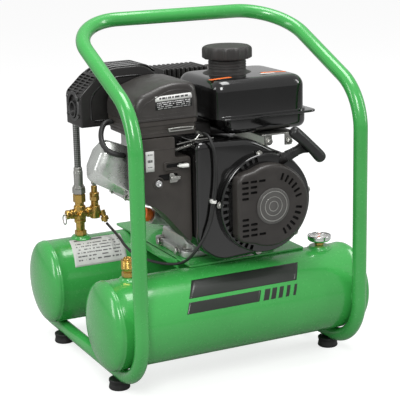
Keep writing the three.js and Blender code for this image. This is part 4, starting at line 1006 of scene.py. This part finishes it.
linkRod = sweep(smoothPath([(-100, -150, 425), (-84, -150, 427), (-66, -148, 428), (-52, -140, 435)]), 1.3, 10)
t = np.linspace(0, 1, 200)
spring = np.column_stack((-104 + 34 * t, -151 + 2.6 * np.cos(t * 88), 416 + 6 * t + 2.6 * np.sin(t * 88)))
linkage = linkRod + sweep(spring, 0.7, 8)
linkage = linkage + block((-76, -152, 428), (-30, -149, 430), 0.5, 1)
shroud = block((-58, -96, 404), (-5, -22, 447), 3, 8) + block((-70, -104, 404), (30, -4, 426), 3, 8)
piece("cylinderShroud", shroud, satinBlack)
piece("governorLinkage", linkage, zincSteel)

# ---- air cleaner ----
print("air cleaner")
cleaner = {"left": -182, "right": -60, "front": -160, "back": -37, "base": 441.9, "split": 469.9, "top": 534}


def cleanerOutline(inset=0.0, corner=18):
    c = cleaner
    return boxOutline((c["left"] + inset, c["front"] + inset), (c["right"] - inset, c["back"] - inset), corner, 8)


def crownHeight(x):
    """The cover's top: a long shallow rise from the left to its middle, then almost level."""
    t = np.clip((x + 182) / 70, 0, 1)
    rise = 506 + 28 * np.sin(t * math.pi / 2) ** 0.9
    fall = np.clip((x + 112) / 52, 0, 1)
    return rise - 3.5 * fall ** 2


def crowned(outline, low, roll, height, steps=7):
    """Walls that roll over into a crown: rings shrink to the middle while they follow its height."""
    rings = [np.column_stack((outline, np.full(len(outline), low)))]
    for k in range(steps + 1):
        angle = math.pi / 2 * k / steps
        ring = insetRing(outline, roll * (1 - math.cos(angle)))
        rings.append(np.column_stack((ring, height(ring[:, 0]) - roll * (1 - math.sin(angle)))))
    inner = insetRing(outline, roll)
    middle = inner.mean(0)
    for shrink in (0.85, 0.68, 0.5, 0.32, 0.15, 0.0):
        ring = middle + (inner - middle) * shrink
        rings.append(np.column_stack((ring, height(ring[:, 0]))))
    return loft(rings, True, False)


def coverProfile(side, drop, foot):
    """The cover seen from the front: a long shallow arch that peaks left of its middle."""
    c = cleaner
    return filleted([(c["left"] + side, foot, 0), (c["right"] - side, foot, 0), (c["right"] - side * 1.1, 500 - drop, 4),
                     (c["right"] - 5 - side, c["top"] - 4 - drop, 13), (-112, c["top"] - drop, 60),
                     (c["left"] + 9 + side, 512 - drop, 22), (c["left"] + side, 494 - drop, 6)], 0, steps=8)


def coverHull(wall, foot, side=11.0, drop=7.0):
    """The arch carried front to back; near both ends its sides and top draw in along a quarter circle."""
    c = cleaner
    turns = np.linspace(math.pi / 2, 0, 7)
    stations = [(c["front"] + wall + side * (1 - math.sin(a)), a) for a in turns]
    stations += [(c["back"] - wall - side * (1 - math.sin(a)), a) for a in turns[::-1]]
    rings = []
    for y, a in stations:
        line = coverProfile(wall + side * (1 - math.cos(a)), wall + drop * (1 - math.cos(a)), foot)
        rings.append(np.column_stack((line[:, 0], np.full(len(line), y), line[:, 1])))
    return loft(rings)


c = cleaner
coverObj = piece("cleanerCover", coverHull(0.2, c["split"] + 2), coverPlastic, body="cleaner_cover", stands=["air_cleaner_cover"], sharp=40)
carve(coverObj, coverHull(2.4, c["split"] - 4))
trim = band(cleanerOutline(0, 13), c["split"] + 0.3, c["split"] + 6, 5, 1.2) + band(cleanerOutline(0.1, 13), c["split"] + 9, c["split"] + 11.6, 2.6, 0.6)
archTop = [(x, z) for x, z in coverProfile(9, 12.5, c["split"] + 2) if z > c["split"] + 12]
archLine = np.array([(x, c["front"] + 0.5, z) for x, z in archTop])
trim = trim + sweep(archLine, 1.0, 10)
piece("cleanerTrim", trim, coverPlastic, body="cleaner_cover")
trayShape = tub(cleanerOutline(3, 14), c["base"], c["split"] - 5, 2.4, 2.5) + band(cleanerOutline(0.8, 14), c["split"] - 8, c["split"], 4.6, 0.8)
for z in (448, 454):
    trayShape = trayShape + band(cleanerOutline(2.4, 14), z, z + 2, 1.6, 0.5)
piece("cleanerTray", trayShape, panelPlastic, stands=["air_cleaner_base"])
whiteStrip = patch([[(x, c["front"] - 0.1, z + (x + 110) * 0.03) for x in np.linspace(-142, -74, 8)] for z in (503.5, 512.5)])
piece("cleanerHeading", whiteStrip, cleanerLabel, body="cleaner_cover", sheetLike=True, thick=0.15)
noteBlock = patch([[(x, c["front"] - 0.1, z + (x + 110) * 0.03) for x in np.linspace(-142, -74, 8)] for z in (489.5, 502.5)])
piece("cleanerNote", noteBlock, cleanerNote, body="cleaner_cover", sheetLike=True, thick=0.15)
wire = smoothPath([(-118, -162.2, 452.6), (-119, -163, 455.2), (-97, -163.4, 456), (-75.6, -163, 455.2), (-76, -162.2, 452.6)])
latch = sweep(wire, 1.3, 12) + rod(1.5, -23, 23, (-97, -162.4, 451.4), (1, 0, 0), 16)
piece("cleanerLatchClip", latch, zincSteel, body="cleaner_latch", stands=["air_cleaner_latch"])
breather = smoothPath([(-179.4, -62, 458.9), (-189, -62, 458.9), (-198, -66, 455), (-205, -72, 446), (-209, -80, 436), (-211, -93, 426),
                       (-205, -106, 416), (-194, -112, 411), (-183, -110, 408), (-178, -101.4, 406)])
piece("breatherTube", sweep(breather, 4.5, 24), rubberFinish, stands=["breather_hose"])

# ---- fuel tank ----
print("fuel tank")
fuel = {"left": -28, "right": 155, "front": -159, "back": 4, "low": 429.9, "seam": 456.9, "top": 527}


def fuelRoof(x):
    return fuel["top"] - 2.5 * ((x - 60) / 90) ** 2 - 0.4


def fuelOutline(left, right, front, back, corner):
    return boxOutline((left, front), (right, back), corner, 8)


upper = crowned(fuelOutline(-28, 155, -159, 4, 30), fuel["seam"] + 2, 19, fuelRoof)
lowerPan = prism(fuelOutline(-2, 158, -156, -4, 24), fuel["low"], fuel["seam"] + 2, 13, 0.2, 6)
seamRim = prism(fuelOutline(-18, 173.5, -163, 8, 18), fuel["seam"] - 0.4, fuel["seam"] + 3.6, 1.6, 1.6)
bead = prism(fuelOutline(-25, 158, -160.4, 5.4, 28), fuel["seam"] + 3, fuel["seam"] + 8, 0.5, 2.0)
neck = lathe([(29, 515), (34, 515), (44, 526), (38, 528.2), (33.4, 531), (33.4, 548), (32.4, 550.6), (30, 550.6), (29, 549), (29, 515)], (43, -66, 0), sides=72, soft=1)
threads = together([lathe([(33, z - 1.6), (34.3, z), (33, z + 1.6), (32, z), (33, z - 1.6)], (43, -66, 0), sides=72, soft=0.3) for z in (536, 540.5, 545)])
piece("fuelTankShell", upper + lowerPan + seamRim + bead, glossBlack, stands=["fuel_tank"], sharp=40)
piece("fuelNeck", neck + threads, capPlastic)
# Painted reflections: thin orange and pale strips laid over the glossy tank roof stand for its highlights.
for name, box, finish in (("fuelStripWarm", (-22, 20, -128, -118), orangePlastic), ("fuelStripRight", (88, 138, -112, -104), orangePlastic),
                          ("fuelStripPale", (80, 110, -124, -116), palePlastic)):
    x = np.linspace(box[0], box[1], 12)
    rows = [np.column_stack((x, np.full(12, y), np.minimum(fuelRoof(x), 526.4) + 0.25)) for y in np.linspace(box[2], box[3], 3)]
    piece(name, patch(rows), finish, sheetLike=True, thick=0.15)

cap = {"x": 43, "y": -66, "low": 551.9, "radius": 44.6, "lobes": 12}


def capShape():
    """A scalloped skirt: the radius falls in twelve rounded valleys, and the crown closes over it."""
    angle = np.linspace(0, 2 * math.pi, 240, endpoint=False)
    wave = np.clip(np.cos(cap["lobes"] * angle), -0.25, 1)
    rings = []
    profile = [(0.965, 0.3, 0.6), (0.99, 1.2, 1), (1.0, 3, 1), (1.0, 15.5, 1), (0.985, 18.4, 0.85), (0.95, 20.4, 0.5), (0.9, 21.6, 0.15), (0.86, 22, 0),
               (0.82, 21.4, 0), (0.8, 21.2, 0), (0.6, 22.6, 0), (0.4, 23.6, 0), (0.2, 24.2, 0), (0.0, 24.4, 0)]
    for scale, height, depth in profile:
        radius = cap["radius"] * scale - depth * 2.4 * (1 - wave) / 1.25
        rings.append(np.column_stack((cap["x"] + radius * np.cos(angle), cap["y"] + radius * np.sin(angle), np.full(240, cap["low"] + height))))
    return loft(rings, True, False) + rod(27, -12, 2, (cap["x"], cap["y"], cap["low"]))


piece("fuelCapKnob", capShape(), capPlastic, body="cap", stands=["fuel_cap"])
bracket = block((58, -164, 423.9), (126, -58, 426.4), 0.6, 4) + block((58, -64, 380), (126, -61, 426), 0.6, 1)
bracket = bracket + block((38, -92, 377.6), (72, -58, 380.1), 0.6, 4) + block((64, -164.5, 408), (78, -161.5, 426), 0.6, 1) + block((104, -164.5, 404), (118, -161.5, 426), 0.6, 1)
piece("tankBracketPlate", bracket, zincSteel, stands=["fuel_tank_bracket"])
piece("bracketNuts", together([bolt((x, -164.8, z), (0, -1, 0), 9, 5, 7) for x, z in ((71, 414), (111, 411))]), zincSteel)

# ---- muffler guard ----
print("muffler guard")
guardBox = {"front": -31, "back": 40}


def guardOutline(inset=0.0):
    return filleted([(-225 + inset, 445.9, 3), (-225 + inset, 503, 7), (-194 + inset * 0.6, 532 - inset, 9), (-168, 546 - inset, 26),
                     (-98, 547 - inset, 22), (-72 - inset, 520 - inset, 14), (-72 - inset, 445.9, 3)], 3, steps=6)


guard = piece("mufflerGuardShell", carried(guardOutline(), guardBox["front"], guardBox["back"], 3, 3, 4), satinBlack, stands=["muffler_guard"])
cuts = [carried(guardOutline(2.5), -28, 37, 1, 1)]
slope = np.array((31, 0, 29)) / math.hypot(31, 29)
slopeOut = np.array((-slope[2], 0, slope[0]))
for column in (-18, 4.5, 27):
    for row in range(7):
        middle = np.array((-222.6, column, 505.5)) + slope * (row * 6.2)
        slot = block((-9.6, -1.9, -6), (9.6, 1.9, 6), 0.2, 1.7)
        cuts.append(slot.mapped(middle, (0, 1, 0), slope, slopeOut))
outlet = np.array((-225, 4, 480))
cuts.append(rod(21, -8, 10, outlet, (1, 0, 0), 56, 0))
carve(guard, together(cuts))
plateRing = lathe([(21, 0.6), (21, -1.6), (25.5, -1.6), (27, 0.6), (21, 0.6)], outlet, (1, 0, 0), 64, 0.4)
for a in np.radians((35, 145, 215, 325)):
    plateRing = plateRing + rod(3.4, -3.0, -0.5, outlet + (0, 29 * math.cos(a), 27 * math.sin(a)), (1, 0, 0), 20)
piece("outletRing", plateRing, darkSteel)
piece("outletShade", rod(20.6, 4.4, 5.6, outlet, (1, 0, 0), 48, 0.2), voidBlack)
pressing = filleted([(-206, 456, 8), (-206, 500, 16), (-184, 520, 16), (-160, 530, 22), (-104, 530, 20), (-84, 512, 14), (-84, 456, 8)], 8, steps=6)
rimPath = np.column_stack((pressing[:, 0], np.full(len(pressing), -31.2), pressing[:, 1]))
rimPath = np.vstack((rimPath, rimPath[:2]))
piece("guardPressing", sweep(rimPath, 1.6, 10), glossBlack)
ridge = together([carried(filleted([(-190, 536, 3), (-168, 548.2, 20), (-98, 549, 20), (-80, 536, 8), (-80, 532, 2), (-98, 545, 20), (-168, 544, 20), (-188, 532, 3)], 3, steps=5), y, y + 7, 1.5, 1.5) for y in (-26, -8, 10, 28)])
piece("guardRidges", ridge, glossBlack)

oilCap = lathe([(9, 6.3), (9, 10), (12.4, 10), (13, 12), (12.6, 20), (11, 21), (8, 21), (7.4, 25), (0, 25)], oilPlace, oilAxis, 40, 0.6)
oilCap = oilCap + lathe([(0, 6.3), (9, 6.3), (9, 7), (0, 7)], oilPlace, oilAxis, 40, 0.2)
u, v, w = axes(oilAxis)
oilCap = oilCap + block((-9.5, -2, 18), (9.5, 2, 25.5), 1, 1.5).mapped(oilPlace, u, v, w)
piece("oilCapKnob", oilCap, orangePlastic, body="oil_cap", stands=["oil_filler_cap"])

# ---- pump ----
print("pump")
pump = {"front": 34, "back": 188, "radius": 60, "y": 158, "deck": 462, "top": 512}
body = crankRing(60, 34, 188, 72, 5) + crankRing(52, 186, 190)
body = body + block((3, 74, deck), (99, 182, deck + 10), 2, 8) + block((15, 84, deck + 6), (87, 176, crank["z"] - 30), 3, 10)
body = body + block((15, 122, crank["z"]), (87, 186, crank["z"] + 66), 3, 8)
for y in (50, 66, 82, 98, 114):
    body = body + crankRing(62.5, y, y + 3, 72, 0.8)
piece("pumpCrankcaseCasting", body, darkCast, stands=["pump_crankcase"])
barrel = rod(36, 377, 461.9, (crank["x"], 154, 0), sides=56) + rod(41, 377.2, 384, (crank["x"], 154, 0), sides=56, soft=1)
for k in range(8):
    barrel = barrel + rod(46 if k % 2 == 0 else 45, 389 + k * 9, 392.2 + k * 9, (crank["x"], 154, 0), sides=56, soft=1)
piece("pumpBarrel", barrel, castAlloy, stands=["pump_cylinder"])
headBlock = prism(boxOutline((1, 116), (101, 194), 9), 462.3, 491, 1.5, 1.5)
for k in range(10):
    x = 3.5 + k * 9.8
    headBlock = headBlock + block((x, 119, 489), (x + 6, 191, 511.7), 1.8, 2)
headBlock = headBlock + rod(12, -1, 13.4, (2, 158, 488), (-1, 0, 0), 36, 1) + hexagon(20, 12, 13.6, (2, 158, 488), (-1, 0, 0))
piece("pumpHeadCasting", headBlock, satinBlack, stands=["pump_head"])
headBolts = together([bolt((x, y, 490.6), (0, 0, 1), 11, 7, 8) for x in (9, 93) for y in (125, 185)])
piece("pumpHeadBolts", headBolts, zincSteel)
filterShape = lathe([(0, 0.4), (10, 0.4), (10, 8), (21, 8), (22, 12), (22, 30), (19, 38), (0, 38)], (101, 158, 485.9), (1, 0, 0), 56, 2)
for k in range(18):
    a = 2 * math.pi * k / 18
    filterShape = filterShape + rod(1.0, 12, 32, (101, 158 + 21.6 * math.cos(a), 485.9 + 21.6 * math.sin(a)), (1, 0, 0), 8, 0.3)
piece("pumpIntakeFilter", filterShape, panelPlastic, stands=["pump_intake_filter"])
fanShell = lathe([(50, 188.6), (64, 188.6), (64, 216), (58, 221.8), (0, 221.8), (0, 219.4), (56.5, 219.4), (61.6, 214.6), (61.6, 191), (50, 191), (50, 188.6)], crankCentre, (0, 1, 0), 96, 1.5)
fanCover = piece("pumpFanGuard", fanShell, satinBlack, stands=["pump_fan_guard"])
grille = []
for radius, count in ((18, 6), (31, 10), (44, 14)):
    for k in range(count):
        a = 2 * math.pi * k / count
        hole = block((-3.0, 205, -5.6), (3.0, 230, 5.6), 0.2, 1)
        grille.append(hole.mapped(crankCentre + (radius * math.cos(a), 0, radius * math.sin(a)), (math.cos(a), 0, math.sin(a)), (0, 1, 0), (-math.sin(a), 0, math.cos(a))))
carve(fanCover, together(grille))

# ---- valves and discharge hose ----
print("valves and hose")
valve = {"x": -168, "y": 146, "low": 204.3, "cross": 247.6}
vx, vy, vz = valve["x"], valve["y"], valve["cross"]
tower = rod(6, 195.5, 204, (vx, vy, 0)) + hexagon(20, 204.7, 214.5, (vx, vy, 0)) + rod(8.5, 214, 231, (vx, vy, 0))
tower = tower + rod(11.2, 230, 236, (vx, vy, 0), soft=1.2) + rod(11.4, 236, 263, (vx, vy, 0), soft=2) + rod(8.8, 262, 269.6, (vx, vy, 0)) + hexagon(21, 269.4, 285.4, (vx, vy, 0))
tower = tower + rod(8, -13.8, 21.6, (vx, vy, vz), (1, 0, 0), 36, 1) + rod(10, -13.8, -8, (vx, vy, vz), (1, 0, 0), 36, 0.8) + rod(10, 14, 21.4, (vx, vy, vz), (1, 0, 0), 36, 0.8)
tower = tower + rod(7, -15, 2, (vx, vy, vz), (0, 1, 0), 32, 1) + hexagon(12, -19, -13, (vx, vy, vz), (0, 1, 0))
piece("checkValveBody", tower, brass, stands=["check_valve"])
ferrule = hexagon(22, 286.2, 297, (vx, vy, 0)) + rod(12.2, 297, 299.5, (vx, vy, 0)) + rod(10, 299, 303, (vx, vy, 0))
ferrule = ferrule + rod(8.8, 302, 331, (vx, vy, 0), soft=1.2) + rod(8.2, 330, 337.4, (vx, vy, 0), soft=1.6)
piece("hoseFerrule", ferrule, zincSteel, stands=["hose_fitting"])
hoseRoute = [((vx, vy, 337.6), 0), ((vx, vy, 487.9), 52), ((-86, 158, 487.9), 60), ((-12, 158, 487.9), 0)]
piece("dischargeHoseBraid", sweep(bentPath(hoseRoute, 24), 6.4, 32), braid, stands=["discharge_hose"])
collars = rod(8.6, -18, -1, (-12, 158, 487.9), (1, 0, 0)) + rod(9.0, 0, 2.4, (vx, vy, 325))
piece("hoseCollars", collars, zincSteel)

px = vx + 31
pilot = rod(8, -9, 9.4, (px, vy, vz), (-1, 0, 0), 36, 1) + rod(10, -13, 11, (px, vy, vz), soft=1.5) + rod(7, 11, 21, (px, vy, vz)) + hexagon(16.5, 21, 30, (px, vy, vz)) + rod(9.3, 30, 37, (px, vy, vz), soft=1.5) + rod(6, 37, 50, (px, vy, vz), soft=1)
pilot = pilot + together([rod(7.4, 12 + 2.4 * k, 13.4 + 2.4 * k, (px, vy, vz), soft=0.5) for k in range(4)])
piece("pilotValveBody", pilot, brass, stands=["pilot_valve"])
lever = rod(4.5, -4, 4, (px, vy, 302.4), (0, 1, 0), 32, 0.5) + block((px, vy - 4, 303.4), (px + 18, vy + 4, 306.2), 0.8, 1.5)
piece("pilotToggleLever", lever, zincSteel, body="toggle", stands=["pilot_toggle"])
sx = vx - 14.3
safety = lathe([(2.6, 14), (2.6, 4), (0, 4), (0, 0.2), (9.3, 0.2), (9.3, 5), (7, 5.4), (7, 7.6), (9, 8), (9, 13), (7.6, 14), (2.6, 14)], (sx, vy, vz), (-1, 0, 0), 36, 0.4)
piece("safetyValveBody", safety, brass, stands=["safety_valve"])
angle = np.linspace(0, 2 * math.pi, 60)
ringPath = np.column_stack((np.full(60, sx - 17), vy + 9 * np.cos(angle), vz - 9 + 9 * np.sin(angle)))
pull = sweep(ringPath, 1.15, 14) + rod(2, 5, 18, (sx, vy, vz), (-1, 0, 0), 24)
piece("safetyRing", pull, zincSteel, body="safety_pull", stands=["safety_pull_ring"])

cableStart = np.array((-117, 138, 222.6))
cylinderStart = np.array((px + 15, vy - 2, vz - 6))
run = cableStart - cylinderStart
length = np.linalg.norm(run)
slave = lathe([(0, 0), (5, 0), (5, 6), (7.5, 6.5), (7.5, length - 6), (4, length - 5.4), (4, length - 2.6), (0, length - 2.6)], cylinderStart, run, 36, 0.6)
slave = slave + rod(6, -6, 3, cylinderStart, run, 32)
piece("throttleCylinderBody", slave, brass, stands=["throttle_cylinder"])
cablePoints = [(-117, 138, 222.6), (-113, 122, 214), (-113, 100, 209), (-117, 70, 206), (-122, 40, 203),
               (-126, 0, 201), (-124, -34, 200), (-118, -66, 200), (-108, -94, 201), (-97, -118, 204),
               (-89, -138, 211), (-86, -158, 223), (-80, -175, 241), (-68, -182, 263), (-56, -184, 289),
               (-50, -185, 317), (-45, -185, 347), (-43, -185, 378), (-45, -184, 405), (-48, -183, 420),
               (-50, -177, 433), (-50, -166, 438), (-50, -152, 438.5)]
piece("throttleCableSheath", sweep(smoothPath(cablePoints, 8), 2.6, 16), rubberFinish, stands=["throttle_cable"])
tie = lathe([(2.8, -2.5), (4.2, -2.5), (4.2, 2.5), (2.8, 2.5), (2.8, -2.5)], (-48.5, -185, 325), (0.16, 0, 1), 24, 0.4)
tie = tie + block((-53, -186.5, 322), (-44, -176, 328), 1, 1.5)
piece("cableTie", tie, palePlastic)

# ---- gauge, coupler and drains ----
print("gauge, coupler and drains")
gauge = {"x": 186, "y": -146, "dial": 213.3, "radius": 21.5}
gx, gy, gz = gauge["x"], gauge["y"], gauge["dial"]
stem = rod(6, 195.5, 204, (gx, gy, 0)) + hexagon(14.5, 204.7, 210, (gx, gy, 0)) + rod(5.8, 209, 213, (gx, gy, 0)) + rod(12.6, 211.4, 213.6, (gx, gy, 0))
piece("gaugeStem", stem, brass)
can = lathe([(0, 0), (18.5, 0), (21.2, 3), (21.2, 7.6), (21.5, 8), (21.5, 10.2), (20.6, 10.9), (19.4, 10.6), (19.2, 5.2), (0, 5.2)], (gx, gy, gz), sides=72, soft=0.6)
piece("gaugeCase", can, chrome, stands=["gauge_body"])
dial = rod(19.1, 5.1, 5.4, (gx, gy, gz), sides=64, soft=0.1)
piece("gaugeDial", dial, palePlastic)
ticks = []
for k in range(31):
    a = math.radians(225 - 9 * k)
    deep = 3.4 if k % 5 == 0 else 2.0
    mark = block((17.6 - deep, -0.3 if k % 5 else -0.5, 5.35), (17.6, 0.3 if k % 5 else 0.5, 5.55), 0.05, 0.05)
    ticks.append(mark.mapped((gx, gy, gz), (math.cos(a), math.sin(a), 0), (-math.sin(a), math.cos(a), 0), (0, 0, 1)))
piece("gaugeTicks", together(ticks), voidBlack)
a = math.radians(130)
needle = block((-1.0, -5, 6.4), (1.0, 2, 7.1), 0.1, 0.6) + block((-0.7, 0, 6.4), (0.7, 14, 7.1), 0.1, 0.5)
needle = needle.mapped((gx, gy, gz), (math.cos(a), math.sin(a), 0), (-math.sin(a), math.cos(a), 0), (0, 0, 1)) + rod(2.2, 5.6, 7.9, (gx, gy, gz), sides=24)
piece("gaugePointer", needle, orangePlastic, body="needle", stands=["gauge_needle"])
lens = lathe([(0, 9.1), (19.0, 9.1), (19.0, 10.2), (0, 10.9)], (gx, gy, gz), sides=64, soft=0.2)
piece("gaugeGlass", lens, lensFinish, stands=["gauge_lens"])

cx, cy = -196, -146
coupler = rod(6, 195.5, 204, (cx, cy, 0)) + hexagon(19.5, 204.7, 214, (cx, cy, 0))
coupler = coupler + lathe([(0, 214), (8, 214), (8, 237), (7, 238.3), (5.6, 238.3), (5, 236), (5, 218.3), (0, 218.3)], (cx, cy, 0), soft=0.5)
piece("couplerCore", coupler, brass, stands=["coupler_body"])
sleeveProfile = [(8.5, 217.4), (11.3, 217.4), (12, 220.4), (12, 222)]
for k in range(4):
    sleeveProfile += [(11.0, 223 + 2.2 * k), (12.0, 224.1 + 2.2 * k)]
sleeveProfile += [(11, 232), (11.8, 233), (11.3, 234.3), (8.5, 234.3), (8.5, 217.4)]
piece("couplerCollar", lathe(sleeveProfile, (cx, cy, 0), soft=0.3, sides=64), brass, body="sleeve", stands=["coupler_sleeve"])
for side, name in ((-1, "front"), (1, "rear")):
    down = np.array((0, -side * math.sin(math.radians(45)), -math.cos(math.radians(45))))
    centre = np.array((0, side * 146, 122.4))
    drain = hexagon(13, 82.3, 90, centre, down) + rod(5.4, 89, 101.6, centre, down, 28)
    piece(f"drainBody_{name}", drain, brass, stands=[f"drain_valve_{name}"])
    u, v, w = axes(down)
    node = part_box(f"drain_handle_{name}")
    bar = block((-12, -2, 102.3), (12, 2, 105), 0.6, 1.8).mapped(centre, (1, 0, 0), np.cross(w, (1, 0, 0)), w)
    piece(f"drainWing_{name}", bar, zincSteel, body=f"drain_{name}", stands=[f"drain_handle_{name}"])

# ---- inner parts keep their own shapes ----
inner = {"crankshaft": darkSteel, "flywheel": castAlloy, "starter_reel": panelPlastic, "spark_plug": zincSteel,
         "carburettor": castAlloy, "throttle_lever": zincSteel, "filter_element": filterMedia, "muffler": darkSteel, "pump_fan": castAlloy}
for name, finish in inner.items():
    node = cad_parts[name]
    node.data.materials.clear()
    node.data.materials.append(finish)

# ---- floor ----
print("floor")
floorFinish = Finish("floorPaper")
soft = floorFinish.ramp(floorFinish.noise(3, 2), 0.3, 0.7, 0.66, 0.72)
floorFinish.set(Base_Color=(0.42, 0.42, 0.42), Roughness=soft, Specular_IOR_Level=0.0)
bright = floorFinish.tree.nodes.new("ShaderNodeEmission")
bright.inputs["Strength"].default_value = 0.74
both = floorFinish.tree.nodes.new("ShaderNodeAddShader")
lit = floorFinish.tree.nodes.new("ShaderNodeMixShader")
eye = floorFinish.node("ShaderNodeLightPath")
floorFinish.tree.links.new(floorFinish.surface.outputs[0], both.inputs[0])
floorFinish.tree.links.new(bright.outputs[0], both.inputs[1])
floorFinish.tree.links.new(eye.socket, lit.inputs[0])
floorFinish.tree.links.new(floorFinish.surface.outputs[0], lit.inputs[1])
floorFinish.tree.links.new(both.outputs[0], lit.inputs[2])
floorFinish.tree.links.new(lit.outputs[0], floorFinish.tree.nodes["Material Output"].inputs["Surface"])
floorMesh = bpy.data.meshes.new("floor")
floorMesh.from_pydata([(-30, -30, 0), (30, -30, 0), (30, 30, 0), (-30, 30, 0)], [], [(0, 1, 2, 3)])
floorMesh.materials.append(floorFinish.material)
floor = bpy.data.objects.new("floor", floorMesh)
bpy.context.scene.collection.objects.link(floor)
